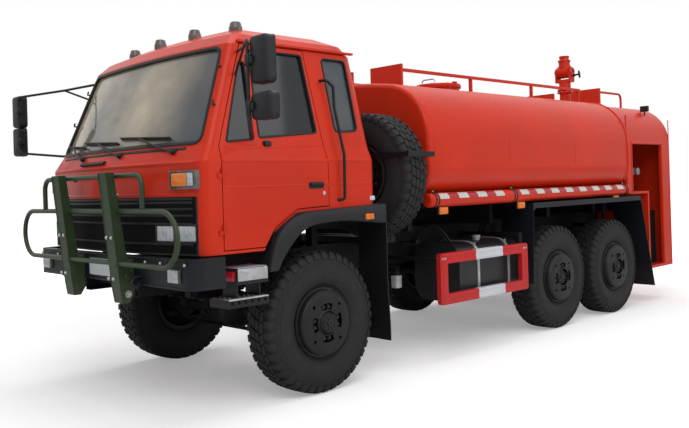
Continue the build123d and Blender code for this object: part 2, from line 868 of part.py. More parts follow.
with BuildPart() as cab_shell:
    add(cab_walls)
    for side in (-1, 1):
        with BuildPart(mode=Mode.PRIVATE) as doorway:
            add(door_block(side, moving_gap).part)
            add(cab_block(cab_wall + moving_gap).part, mode=Mode.SUBTRACT)
        add(doorway.part, mode=Mode.SUBTRACT)
        add(quarter_window(side, 0).part, mode=Mode.SUBTRACT)
    add(end_window(*windshield, 0).part, mode=Mode.SUBTRACT)
    add(end_window(*rear_window, 0).part, mode=Mode.SUBTRACT)
    with BuildPart(mode=Mode.PRIVATE) as grille_space:
        add(cab_outer.part)
        add(cab_block(grille_depth).part, mode=Mode.SUBTRACT)
        with Locations((0, axle_1 - 1150, (grille_low + grille_high) / 2)):
            Box(2 * grille_half, 400, grille_high - grille_low, mode=Mode.INTERSECT)
    add(grille_space.part, mode=Mode.SUBTRACT)
    for side in (-1, 1):
        add(hinge_half_piece(side, False).part)
        with Locations((side * gutter_x, axle_1 - 90, gutter_z)):
            Box(gutter_width, 1180, 16)
keep(cab_shell, "cab_shell")

# Grille panel in the recess under the windshield, with slots between its slats
slot_table = (1205.0, 1430.0, 1475.0, 1520.0)
lamp_x_table = (800.0, 1015.0)
lamp_z = 1325.0
with BuildPart() as grille_panel:
    add(cab_block(body_seat).part)
    add(cab_block(grille_depth - body_seat).part, mode=Mode.SUBTRACT)
    panel_height = grille_high - grille_low - 2 * body_seat
    with Locations((0, axle_1 - 1150, (grille_low + grille_high) / 2)):
        Box(2 * (grille_half - body_seat), 400, panel_height, mode=Mode.INTERSECT)
    for z in slot_table:
        with Locations((0, axle_1 - 1200, z)):
            Box(2 * grille_half - 160, 300, 22, mode=Mode.SUBTRACT)
    for side in (-1, 1):
        for x in lamp_x_table:
            with Locations((side * x, axle_1 - 1200, lamp_z)):
                Box(180, 300, 110, mode=Mode.SUBTRACT)
keep(grille_panel, "grille_panel")

# Doors with their glass
for name, side in (("left", 1), ("right", -1)):
    with BuildPart() as door:
        add(cab_outer.part)
        add(cab_inner.part, mode=Mode.SUBTRACT)
        add(door_block(side, 0).part, mode=Mode.INTERSECT)
        add(door_windows(side, 0).part, mode=Mode.SUBTRACT)
        add(hinge_half_piece(side, True).part)
    keep(door, "door_" + name)
    with BuildPart() as door_glass:
        add(cab_block(glass_depth).part)
        add(cab_block(glass_depth + glass_wall).part, mode=Mode.SUBTRACT)
        add(door_windows(side, -body_seat).part, mode=Mode.INTERSECT)
    keep(door_glass, "door_glass_" + name)

# Grab rails behind the doors: one black tube a side, seen from outboard as distance out, back and up
grab_points = (
    (1060, 95, 2470),
    (1138, 115, 2470),
    (1160, 165, 2420),
    (1160, 170, 2260),
    (1232, 198, 1870),
    (1232, 190, 1520),
    (1180, 150, 1515),
)
grab_r = 12.0
with BuildPart() as cab_rails:
    for side in (-1, 1):
        points = [(side * x, axle_1 + y, z) for x, y, z in grab_points]
        with BuildLine():
            FilletPolyline(*points, radius=25)
        way = Vector(*points[1]) - Vector(*points[0])
        with BuildSketch(Plane(origin=points[0], x_dir=(0, 0, 1), z_dir=way)):
            Circle(grab_r)
        sweep()
    add(cab_block(-body_seat).part, mode=Mode.SUBTRACT)
keep(cab_rails, "cab_rails")

# Fixed glass: windshield, rear window and quarter windows
with BuildPart() as cab_glass:
    with BuildPart(mode=Mode.PRIVATE) as window_spaces:
        add(end_window(*windshield, -body_seat).part)
        add(end_window(*rear_window, -body_seat).part)
        for side in (-1, 1):
            add(quarter_window(side, -body_seat).part)
    add(cab_block(glass_depth).part)
    add(cab_block(glass_depth + glass_wall).part, mode=Mode.SUBTRACT)
    add(window_spaces.part, mode=Mode.INTERSECT)
keep(cab_glass, "cab_glass")

# Dashboard with the steering column and wheel
steering_centre = (560.0, axle_1 - 560.0, 2035.0)
steering_r = 235.0
with BuildPart() as dashboard:
    add(cab_block(cab_wall + body_seat).part)
    with Locations((0, axle_1 - 1000, 1780)):
        Box(2200, 480, 290, mode=Mode.INTERSECT)
    column_dir = Vector(0, 0.55, 0.83)
    column_foot = Vector(*steering_centre) - column_dir.normalized() * 330
    with BuildSketch(Plane(origin=column_foot, x_dir=(1, 0, 0), z_dir=column_dir)):
        Circle(32)
    extrude(amount=330)
    wheel_plane_up = Plane(origin=steering_centre, x_dir=(1, 0, 0), z_dir=column_dir)
    with BuildSketch(wheel_plane_up):
        Circle(steering_r + 12)
        Circle(steering_r - 12, mode=Mode.SUBTRACT)
        Circle(55)
        with PolarLocations(0, 4, start_angle=45):
            with Locations((steering_r / 2, 0)):
                Rectangle(steering_r, 26)
    extrude(amount=24)
keep(dashboard, "dashboard")

# Seats on the raised floor over the engine
seat_front = -270.0
seat_foot_rear = 260.0
with BuildPart() as seats:
    for x, width in ((590.0, 520.0), (-590.0, 520.0)):
        with BuildSketch(side_view(x - width / 2)):
            with BuildLine():
                Polyline(
                    (axle_1 + seat_front, edge_height(seat_front) + cab_wall + body_seat),
                    (axle_1 + seat_front - 20, 1850),
                    (axle_1 + 120, 1830),
                    (axle_1 + 230, 2480),
                    (axle_1 + 350, 2460),
                    (axle_1 + seat_foot_rear, edge_height(seat_foot_rear) + cab_wall + body_seat),
                    close=True,
                )
            make_face()
            fillet(vertices().group_by(Axis.Y)[-1], 30)
            fillet(vertices().group_by(Axis.X)[0], 30)
        extrude(amount=width)
keep(seats, "seats")

# Front wheel arches with a lip outside the cab's sides, and their mudflaps
lip_in = 1196.0
lip_out = 1235.0
arch_in = 900.0
flap_back = 653.0
arch_rear = axle_1 + flap_back
flap_low = 320.0
arch_wall = 12.0
arch_top = [
    (axle_1 - 590, 1018.0),
    (axle_1 - 505 + body_seat, 1306 - body_seat),
    (axle_1 - 283 + body_seat, 1436 - body_seat),
    (arch_rear, edge_height(flap_back) - body_seat),
]
arch_under = [
    (arch_rear, 1300.0),
    (axle_1 + 178, 1352.0),
    (axle_1 - 215, 1330.0),
    (axle_1 - 413, 1154.0),
    (axle_1 - 500, 1018.0),
]
with BuildPart() as front_fenders:
    with BuildSketch(side_view(lip_in)):
        with BuildLine():
            Polyline(*arch_top, *arch_under, close=True)
        make_face()
    extrude(amount=lip_out - lip_in)
    with BuildSketch(side_view(arch_in)):
        with BuildLine():
            inner_edge = [(y + arch_wall, z - arch_wall) for y, z in arch_top[:3]]
            last = (arch_top[3][0], arch_top[3][1] - arch_wall)
            Polyline(*arch_top, last, *reversed(inner_edge), close=True)
        make_face()
    extrude(amount=lip_in - arch_in)
    with Locations(((arch_in + lip_out) / 2, arch_rear + 5, (flap_low + arch_top[3][1]) / 2)):
        Box(lip_out - arch_in, 10, arch_top[3][1] - flap_low)
    mirror(about=Plane.YZ)
keep(front_fenders, "front_fenders")

# Cab steps: a box step behind the bumper's end and a lower hanging one
step_in = 1000.0
step_out = 1225.0
step_rear = axle_1 - 600.0
with BuildPart() as cab_steps:
    with Locations(((step_in + step_out) / 2, (axle_1 - 880 + step_rear) / 2, 1008)):
        Box(step_out - step_in, step_rear - axle_1 + 880, 116)
    with Locations(((step_in + step_out) / 2, (axle_1 - 960 + step_rear) / 2, 822)):
        Box(step_out - step_in, step_rear - axle_1 + 960, 60)
    for y in (axle_1 - 860, axle_1 - 660):
        with Locations(((step_in + step_out) / 2, y, 900)):
            Box(step_out - step_in - 60, 12, 120)
    with BuildSketch(Plane.YZ.offset(rail_out_x + body_seat)):
        with Locations((axle_1 - 840, 1008)):
            Circle(28)
    extrude(amount=step_in + 10 - rail_out_x)
    mirror(about=Plane.YZ)
keep(cab_steps, "cab_steps")


def round_outline(half, low, eave, top, low_r, shoulder_r):
    """Outline of the tank or the pump cabin seen from the end."""
    with BuildSketch() as outline:
        with BuildLine():
            Polyline((-half, eave), (-half, low), (half, low), (half, eave))
            ThreePointArc((half, eave), (0, top), (-half, eave))
        make_face()
        fillet(vertices().group_by(Axis.Y)[0], low_r)
        fillet(vertices().group_by(Axis.Y)[-1], shoulder_r)
    return outline.sketch


def tank_outline(grow):
    """The tank's outline with its sides and top moved outward."""
    eave = tank_eave + grow
    top = tank_top + grow
    return round_outline(tank_half + grow, tank_bottom, eave, top, tank_low_r, tank_shoulder_r)


def cabin_outline(grow):
    """The pump cabin's outline with its sides and top moved outward, or all of it moved inward."""
    low = cabin_floor - min(grow, 0)
    low_r = cabin_low_r + min(grow, 0) / 4
    eave = cabin_eave + grow
    top = cabin_top + grow
    return round_outline(cabin_half + grow, low, eave, top, low_r, cabin_shoulder_r + grow)


# Water tank
with BuildPart() as tank:
    with BuildSketch(front_view(tank_front)):
        add(tank_outline(0))
    extrude(amount=tank_rear - tank_front)
    fillet(faces().group_by(Axis.Y)[0].edges(), tank_end_r)
    fillet(faces().group_by(Axis.Y)[-1].edges(), tank_end_r / 2)
keep(tank, "tank")

# Manhole collar, walkway rails and end plates on top of the tank
rail_half = 540.0
walk_front = axle_1 + 1660.0
walk_rear = axle_1 + 5090.0
walk_z = 2740.0
grab_front = axle_1 + 5600.0
grab_rear = axle_1 + 6200.0
hatch_y = axle_1 + 2900.0
hatch_r = 265.0
with BuildPart() as top_rails:
    for side in (-1, 1):
        with BuildSketch(side_view(side * rail_half - 15)):
            with Locations(((walk_front + walk_rear) / 2, walk_z + 12)):
                Rectangle(walk_rear - walk_front, 30)
            for y in (axle_1 + 2800, axle_1 + 3980, walk_rear - 30):
                with Locations((y, (2520 + walk_z) / 2)):
                    Rectangle(30, walk_z - 2500)
        extrude(amount=30)
        with Locations((side * 345, walk_front + 15, 2690)):
            Box(420, 30, 240)
        with Locations((side * 345, grab_front, 2680)):
            Box(420, 30, 260)
        with BuildLine():
            FilletPolyline(
                (side * rail_half, grab_front, walk_z + 20),
                (side * rail_half, grab_rear, walk_z + 20),
                (side * rail_half, grab_rear, 2500),
                radius=70,
            )
        grab_start = (side * rail_half, grab_front, walk_z + 20)
        with BuildSketch(Plane(origin=grab_start, x_dir=(1, 0, 0), z_dir=(0, 1, 0))):
            Circle(15)
        sweep()
    with BuildSketch(Plane.XY.offset(2580)):
        with Locations((0, hatch_y)):
            Circle(hatch_r - 20)
            Circle(hatch_r - 45, mode=Mode.SUBTRACT)
    extrude(amount=110)
    with BuildPart(mode=Mode.PRIVATE) as tank_skin:
        with BuildSketch(front_view(tank_front)):
            add(tank_outline(body_seat))
        extrude(amount=tank_rear - tank_front + 60)
    add(tank_skin.part, mode=Mode.SUBTRACT)
    with BuildPart(mode=Mode.PRIVATE) as cabin_skin:
        with BuildSketch(front_view(cabin_front - 10)):
            add(cabin_outline(body_seat))
        extrude(amount=cabin_rear - cabin_front)
    add(cabin_skin.part, mode=Mode.SUBTRACT)
keep(top_rails, "top_rails")

# Manhole lid, hinged at its rear edge
lid_low = 2580 + 110 + 0.3
with BuildPart() as manhole_lid:
    with BuildSketch(Plane.XY.offset(lid_low)):
        with Locations((0, hatch_y)):
            Circle(hatch_r)
    extrude(amount=45)
    fillet(faces().group_by(Axis.Z)[-1].edges(), 18)
keep(manhole_lid, "manhole_lid")

# Hose pipes along the tank's sides
with BuildPart() as side_pipes:
    for side in (-1, 1):
        with BuildSketch(front_view(tank_front)):
            with Locations((-side * pipe_x, pipe_z)):
                Circle(pipe_r)
        extrude(amount=tank_rear - tank_front)
    fillet(edges().filter_by(GeomType.CIRCLE), 30)
keep(side_pipes, "side_pipes")

# Pump cabin: a hollow rear body with an open bay in each side
with BuildPart() as pump_cabin:
    with BuildSketch(front_view(cabin_front)):
        add(cabin_outline(0))
    extrude(amount=cabin_rear - cabin_front)
    with Locations((0, (cabin_low_front + cabin_rear) / 2, (cabin_foot + cabin_floor + 30) / 2)):
        Box(2 * cabin_half, cabin_rear - cabin_low_front, cabin_floor + 30 - cabin_foot)
    with BuildSketch(front_view(cabin_front + cabin_wall)):
        add(cabin_outline(-cabin_wall))
    extrude(amount=cabin_rear - cabin_front - 2 * cabin_wall, mode=Mode.SUBTRACT)
    low_y = (cabin_low_front + cabin_rear) / 2
    low_z = (cabin_foot + cabin_floor) / 2 + 40
    with Locations((0, low_y, low_z)):
        Box(
            2 * (cabin_half - cabin_wall),
            cabin_rear - cabin_low_front - 2 * cabin_wall,
            cabin_floor - cabin_foot + 10,
            mode=Mode.SUBTRACT,
        )
    with BuildSketch(side_view(-1300)):
        with BuildLine():
            Polyline(
                (bay_front, cabin_floor + cabin_wall),
                (bay_front, bay_top),
                (bay_rear, bay_top),
                (bay_rear, cabin_foot + cabin_wall),
                (cabin_low_front + cabin_wall, cabin_foot + cabin_wall),
                (cabin_low_front + cabin_wall, cabin_floor + cabin_wall),
                close=True,
            )
        make_face()
    extrude(amount=2600, mode=Mode.SUBTRACT)
    with Locations((0, cabin_low_front, (rail_bottom + subframe_top) / 2)):
        Box(2 * rail_out_x + 40, 200, subframe_top - rail_bottom + 40, mode=Mode.SUBTRACT)
keep(pump_cabin, "pump_cabin")

# Pump with its inlets, standing on the frame's tail inside the cabin
with BuildPart() as pump_unit:
    pump_y = cabin_low_front + 220
    with Locations((0, pump_y, subframe_top + 160 + body_seat)):
        Box(2 * rail_out_x - 60, 260, 320)
    for side in (-1, 1):
        with BuildSketch(Plane.YZ.offset(side * 300)):
            with Locations((pump_y, subframe_top + 170)):
                Circle(75)
        extrude(amount=side * 560)
keep(pump_unit, "pump_unit")

# Rear fenders: a bent sheet over both wheels of a side, with the flap at its tail
fender_in = 845.0
fender_out = 1235.0
fender_wall = 6.0
fender_post_x = fender_in + 8
fender_path = (
    (axle_2 - 640, 560.0),
    (axle_2 - 600, fender_top),
    (axle_3 + 535, fender_top),
    (axle_3 + 860, 240.0),
)
with BuildPart() as rear_fenders:
    with BuildSketch(side_view(fender_in)):
        with BuildLine():
            back = [(y, z) for y, z in fender_path]
            Polyline(
                *back,
                (back[3][0] - fender_wall - 2, back[3][1]),
                (back[2][0] - fender_wall, fender_top - fender_wall),
                (back[1][0] + fender_wall, fender_top - fender_wall),
                (back[0][0] + fender_wall, back[0][1]),
                close=True,
            )
        make_face()
    extrude(amount=fender_out - fender_in)
    with BuildSketch(side_view(fender_out - 8)):
        with BuildLine():
            Polyline(
                (axle_2 - 602, 1300.0),
                (axle_2 - 600, fender_top),
                (axle_3 + 535, fender_top),
                (axle_3 + 556, 1310.0),
                (axle_3 + 530, fender_top - 55),
                (axle_2 - 560, fender_top - 55),
                close=True,
            )
        make_face()
    extrude(amount=8)
    for y in (axle_2 - 300, axle_3 + 300):
        with BuildSketch(Plane.YZ.offset(rail_out_x + body_seat)):
            with Locations((y, rail_top - 60)):
                Circle(24)
        extrude(amount=fender_post_x - rail_out_x)
        with Locations((fender_post_x, y, (rail_top - 60 + fender_top) / 2)):
            Box(30, 30, fender_top - rail_top + 58)
    mirror(about=Plane.YZ)
keep(rear_fenders, "rear_fenders")

# Side guards: rectangular frames of broad rounded tube
with BuildPart() as side_guards:
    with BuildSketch(side_view(guard_x - guard_wall / 2)):
        with Locations(((guard_front + guard_rear) / 2, (guard_low + guard_high) / 2)):
            guard_length = guard_rear - guard_front
            guard_height = guard_high - guard_low
            RectangleRounded(guard_length, guard_height, 30)
            opening_height = guard_height - 2 * guard_bar + 20
            RectangleRounded(guard_length - 2 * guard_bar, opening_height, 15, mode=Mode.SUBTRACT)
    extrude(amount=guard_wall)
    mirror(about=Plane.YZ)
keep(side_guards, "side_guards")

# Fuel tank on the left, with its straps, and the battery box on the right
fuel_front = axle_1 + 1790.0
fuel_length = 1010.0
with BuildPart() as fuel_tank:
    with BuildSketch(front_view(fuel_front)):
        with Locations((-820, 760)):
            RectangleRounded(560, 560, 150)
    extrude(amount=fuel_length)
    with Locations((rail_out_x + body_seat + 65, fuel_front + fuel_length / 2, 900)):
        Box(130, fuel_length - 350, 60)
keep(fuel_tank, "fuel_tank")

with BuildPart() as battery_box:
    with Locations((-790, axle_1 + 1900, 780)):
        Box(600, 700, 440)
    with Locations((-rail_out_x - body_seat - 50, axle_1 + 1900, 900)):
        Box(100, 500, 60)
    with BuildSketch(front_view(axle_1 + 2250)):
        with Locations((650, 700)):
            Circle(130)
    extrude(amount=420)
keep(battery_box, "battery_box")

# Spare wheel upright behind the cab on its carrier
spare_x = 740.0
spare_y = axle_1 + 1010.0
spare_z = 1710.0
spare_plane = Plane(origin=(spare_x, spare_y, spare_z), x_dir=(0, -1, 0), z_dir=(-1, 0, 0))
spare_axis = Axis((spare_x, spare_y, spare_z), (0, 1, 0))
keep(tyre_piece(Location((spare_x, spare_y, spare_z), (0, 0, 90))), "spare_tyre")
with BuildPart() as spare_rim:
    add(rim_piece(spare_plane, spare_axis, 75, False).part)
keep(spare_rim, "spare_rim")

# Its carrier: two beams on the rails, a post with the wheel's stud, and a hoop round the tyre
hoop_low = 1855.0
hoop_high = 1900.0
hoop_wall = 10.0
hoop_gap = 6.0
hoop_reach = 1345.0
beam_high = spare_z - tyre_r - body_seat
post_front = spare_y + tyre_half_width + hoop_gap
with BuildPart() as spare_carrier:
    for y in (spare_y, post_front + 30):
        with Locations(((spare_x + 60 - rail_out_x) / 2, y, (rail_top + body_seat + beam_high) / 2)):
            Box(rail_out_x + spare_x + 60, 60, beam_high - rail_top - body_seat)
    for x in (-rail_out_x + 40, rail_out_x - 40, spare_x + 20):
        with Locations((x, (spare_y + post_front + 30) / 2, (rail_top + body_seat + beam_high) / 2)):
            Box(70, post_front + 30 - spare_y, beam_high - rail_top - body_seat)
    with Locations((spare_x, post_front + 30, (beam_high + hoop_high) / 2)):
        Box(90, 60, hoop_high - beam_high + 2)
    with BuildSketch(front_view(spare_y + hub_in + body_seat)):
        with Locations((-spare_x, spare_z)):
            Circle(40)
    extrude(amount=post_front - spare_y - hub_in)
    hoop_half = tyre_half_width + hoop_gap
    with BuildSketch(Plane.XY.offset(hoop_low)):
        with Locations(((spare_x + hoop_reach) / 2, spare_y)):
            Rectangle(hoop_reach - spare_x, 2 * (hoop_half + hoop_wall))
        with Locations(((spare_x + hoop_reach) / 2 - hoop_wall, spare_y)):
            Rectangle(hoop_reach - spare_x, 2 * hoop_half, mode=Mode.SUBTRACT)
    extrude(amount=hoop_high - hoop_low)
keep(spare_carrier, "spare_carrier")

# Mirrors on their arms, fixed to the doors: name, side, width and height of the lower mirror
mirror_table = (("left", 1, 200.0, 170.0), ("right", -1, 165.0, 270.0))
mirror_x = 1890.0
mirror_y = axle_1 - 1110.0
mast_x = 1800.0
mast_y = axle_1 - 1165.0
arm_r = 11.0


def outside_door(side):
    """The space outboard of the cab's side between the belt line and the roof."""
    with BuildPart() as space:
        with BuildSketch(front_view(axle_1 - 1300)):
            with BuildLine():
                edge = [(-side * (half + 2 * body_seat), z) for z, half, *rest in cab_sections[2:4]]
                Polyline(*edge, (-side * 2000, edge[1][1]), (-side * 2000, edge[0][1]), close=True)
            make_face()
        extrude(amount=1000)
    return space


for name, side, low_width, low_height in mirror_table:
    with BuildPart() as mirrors:
        foot = Vector(side * 1080, axle_1 - 590, 1995)
        knee = Vector(side * 1470, axle_1 - 890, 1985)
        fork = Vector(side * 1400, axle_1 - 890, 2600)
        with BuildLine():
            FilletPolyline(
                foot,
                knee,
                (side * mast_x, mast_y, 2030),
                (side * mast_x, mast_y, 2560),
                fork,
                (side * 980, axle_1 - 640, 2650),
                radius=40,
            )
        with BuildSketch(Plane(origin=foot, x_dir=(0, 0, 1), z_dir=knee - foot)):
            Circle(arm_r)
        sweep()
        brace = Vector(side * 1020, axle_1 - 700, 2440) - fork
        with BuildPart(mode=Mode.PRIVATE) as brace_bar:
            with BuildSketch(Plane(origin=fork, z_dir=brace)):
                Circle(arm_r - 2)
            extrude(amount=brace.length)
            add(outside_door(side).part, mode=Mode.INTERSECT)
        low_mirror = (mirror_x + 10, 2140, low_width, low_height)
        for x, z, width, height in ((mirror_x, 2430, 175, 300), low_mirror):
            with BuildSketch(front_view(mirror_y - 28)):
                with Locations((-side * x, z)):
                    RectangleRounded(width, height, 35)
            extrude(amount=56)
            with Locations((side * (mast_x + 20), (mirror_y + mast_y) / 2 - 5, z)):
                Box(56, mirror_y - mast_y, 44)
        add(cab_block(-body_seat).part, mode=Mode.SUBTRACT)
        add(brace_bar.part)
    keep(mirrors, "mirror_" + name)

# Lamps: headlamps, corner turn lamps, roof lamps (distance out and back, top), bumper and tail lamps
roof_lamp_table = ((772.0, -490.0, 2925.0), (266.0, -530.0, 2940.0))
with BuildPart() as lamps:
    for side in (-1, 1):
        for x in lamp_x_table:
            with Locations((side * x, axle_1 - 1180, lamp_z)):
                Box(180 - 2 * body_seat, 200, 110 - 2 * body_seat)
    with BuildPart(mode=Mode.PRIVATE) as lamp_skin:
        add(cab_block(4).part)
        add(cab_block(grille_depth - body_seat).part, mode=Mode.SUBTRACT)
    add(lamp_skin.part, mode=Mode.INTERSECT)
    with BuildPart(mode=Mode.PRIVATE) as turn_lamps:
        add(cab_block(-24).part)
        add(cab_block(-body_seat).part, mode=Mode.SUBTRACT)
        with Locations((1020, axle_1 - 1200, 1703), (-1020, axle_1 - 1200, 1703)):
            Box(260, 300, 130, mode=Mode.INTERSECT)
    add(turn_lamps.part)
    with BuildPart(mode=Mode.PRIVATE) as roof_lamps:
        for x, y, top in roof_lamp_table:
            for lamp_side in (-1, 1):
                with BuildSketch(front_view(axle_1 + y)):
                    with BuildLine():
                        middle = lamp_side * x
                        Polyline(
                            (middle, top - 130),
                            (middle + 54, top - 130),
                            (middle + 54, top - 50),
                            (middle + 40, top - 6),
                            (middle + 28, top),
                            (middle, top),
                            close=True,
                        )
                    make_face()
                revolve(axis=Axis((-middle, axle_1 + y, 0), (0, 0, 1)))
        add(cab_block(-body_seat).part, mode=Mode.SUBTRACT)
    add(roof_lamps.part)
    for side in (-1, 1):
        with Locations((side * 1020, bumper_front - body_seat - 9, 1040)):
            Box(140, 18, 96)
        with Locations((side * 980, cabin_rear + body_seat + 16, 1150)):
            Box(110, 32, 300)
keep(lamps, "lamps")

# Ladder on the rear wall
ladder_half = 190.0
ladder_off = 110.0
ladder_r = 15.0
ladder_low = 540.0
ladder_high = 2480.0
rung_count = 7
with BuildPart() as ladder:
    for side in (-1, 1):
        with BuildLine():
            FilletPolyline(
                (side * ladder_half, cabin_rear + body_seat, ladder_low),
                (side * ladder_half, cabin_rear + ladder_off, ladder_low),
                (side * ladder_half, cabin_rear + ladder_off, ladder_high),
                (side * ladder_half, cabin_rear + body_seat, ladder_high),
                radius=60,
            )
        ladder_foot = (side * ladder_half, cabin_rear + body_seat, ladder_low)
        with BuildSketch(Plane(origin=ladder_foot, x_dir=(1, 0, 0), z_dir=(0, 1, 0))):
            Circle(ladder_r)
        sweep()
    for number in range(rung_count):
        z = ladder_low + 120 + number * (ladder_high - ladder_low - 240) / (rung_count - 1)
        with BuildSketch(Plane.YZ.offset(-ladder_half)):
            with Locations((cabin_rear + ladder_off, z)):
                Circle(ladder_r - 4)
        extrude(amount=2 * ladder_half)
keep(ladder, "ladder")

# Water monitor on the pump cabin's roof: pedestal, turning body and barrel
monitor_y = axle_1 + 5670.0
monitor_base_top = 2830.0
with BuildPart() as monitor_base:
    with BuildSketch(Plane.XY.offset(cabin_top - 30)):
        with Locations((0, monitor_y)):
            Circle(75)
    extrude(amount=monitor_base_top - cabin_top + 30)
    with BuildPart(mode=Mode.PRIVATE) as roof_skin:
        with BuildSketch(front_view(cabin_front)):
            add(cabin_outline(body_seat))
        extrude(amount=cabin_rear - cabin_front)
    add(roof_skin.part, mode=Mode.SUBTRACT)
keep(monitor_base, "monitor_base")

monitor_pivot_z = 3095.0
ear_in = 92.0
ear_wall = 24.0
trunnion_r = 24.0
drum_r = 85.0
barrel_r = 76.0
barrel_top = 3250.0
tip_r = 64.0
tip_length = 60.0
with BuildPart() as monitor_turret:
    with BuildSketch(Plane.XY.offset(monitor_base_top + body_seat)):
        with Locations((0, monitor_y)):
            Circle(78)
    extrude(amount=130)
    for side in (-1, 1):
        with BuildSketch(Plane.YZ.offset(side * ear_in)):
            with Locations((monitor_y, monitor_pivot_z)):
                Circle(58)
            with Locations((monitor_y, (monitor_pivot_z + 2950) / 2)):
                Rectangle(116, monitor_pivot_z - 2950)
        extrude(amount=side * ear_wall)
    with Locations((0, monitor_y, 2970)):
        Box(2 * (ear_in + ear_wall), 116, 40)
    with BuildSketch(Plane.YZ.offset(-ear_in - ear_wall - 1)):
        with Locations((monitor_y, monitor_pivot_z)):
            Circle(trunnion_r + running_gap)
    extrude(amount=2 * (ear_in + ear_wall + 1), mode=Mode.SUBTRACT)
keep(monitor_turret, "monitor_turret")

with BuildPart() as monitor_barrel:
    with BuildSketch(Plane.YZ.offset(-ear_in - ear_wall)):
        with Locations((monitor_y, monitor_pivot_z)):
            Circle(trunnion_r)
    extrude(amount=2 * (ear_in + ear_wall))
    with BuildSketch(Plane.YZ.offset(-ear_in + 8)):
        with Locations((monitor_y, monitor_pivot_z)):
            Circle(drum_r)
    extrude(amount=2 * ear_in - 16)
    with BuildSketch(Plane.XY.offset(monitor_pivot_z)):
        with Locations((0, monitor_y)):
            Circle(barrel_r)
    extrude(amount=barrel_top - monitor_pivot_z)
    with BuildSketch(Plane.XY.offset(barrel_top)):
        with Locations((0, monitor_y)):
            Circle(tip_r)
    extrude(amount=tip_length)
keep(monitor_barrel, "monitor_barrel")
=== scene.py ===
import math

import bmesh
import bpy
from mathutils import Matrix, Vector


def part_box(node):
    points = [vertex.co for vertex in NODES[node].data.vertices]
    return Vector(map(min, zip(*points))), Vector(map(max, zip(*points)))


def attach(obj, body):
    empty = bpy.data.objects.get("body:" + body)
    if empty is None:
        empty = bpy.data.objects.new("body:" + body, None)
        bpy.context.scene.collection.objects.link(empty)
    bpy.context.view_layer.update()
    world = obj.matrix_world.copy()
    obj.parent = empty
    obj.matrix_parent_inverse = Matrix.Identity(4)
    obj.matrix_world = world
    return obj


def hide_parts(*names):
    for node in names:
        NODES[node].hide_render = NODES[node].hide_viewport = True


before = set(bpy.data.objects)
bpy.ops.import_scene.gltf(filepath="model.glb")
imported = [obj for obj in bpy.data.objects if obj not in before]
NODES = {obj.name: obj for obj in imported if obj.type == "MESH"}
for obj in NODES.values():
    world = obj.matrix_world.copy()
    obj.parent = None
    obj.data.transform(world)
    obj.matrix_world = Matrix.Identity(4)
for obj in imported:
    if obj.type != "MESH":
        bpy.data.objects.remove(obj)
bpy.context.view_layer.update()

CORNERS = ("front_left", "front_right", "middle_left", "middle_right", "rear_left", "rear_right")
SIDES = (("left", 1), ("right", -1))
BOTH = (-1, 1)
UP = Vector((0, 0, 1))

# The axles along the frame's Y, in metres
AXLE_1 = -2.4875
AXLE_2 = AXLE_1 + 3.475
AXLE_3 = AXLE_2 + 1.250
# Places across (x), behind the front axle (y) and above the ground (z), in metres
WHEEL_X = 1.005
TYRE_R = 0.560
MIRROR_Y = -1.110
MIRROR_HALF = 0.028
BUMPER_Y = -1.250
HOSE_X = 1.153
HOSE_Z = 1.469
HOSE_R = 0.066
GUARD_X = 1.205
GUARD_HALF = 0.0225
TANK_TOP = 2.622
LID_Y = 2.900
LID_TOP = 2.7345
BAY_X = 1.150
REAR_Y = 6.300
PUMP_Y = 5.860
PUMP_Z = 1.360
MONITOR_Y = 5.670
TRUNNION_Z = 3.095
RAIL_X = 0.428


# Materials

DUST = (0.20, 0.165, 0.125)


def feed(tree, made, inputs):
    """Sets a node's inputs: a socket is linked, and anything else becomes the input's constant."""
    for key, value in inputs.items():
        if isinstance(value, bpy.types.NodeSocket):
            tree.links.new(value, made.inputs[key])
        else:
            made.inputs[key].default_value = value


def node(tree, kind, inputs, output, **settings):
    """One output of a new shader node."""
    made = tree.nodes.new("ShaderNode" + kind)
    for key, value in settings.items():
        setattr(made, key, value)
    feed(tree, made, inputs)
    return made.outputs[output]


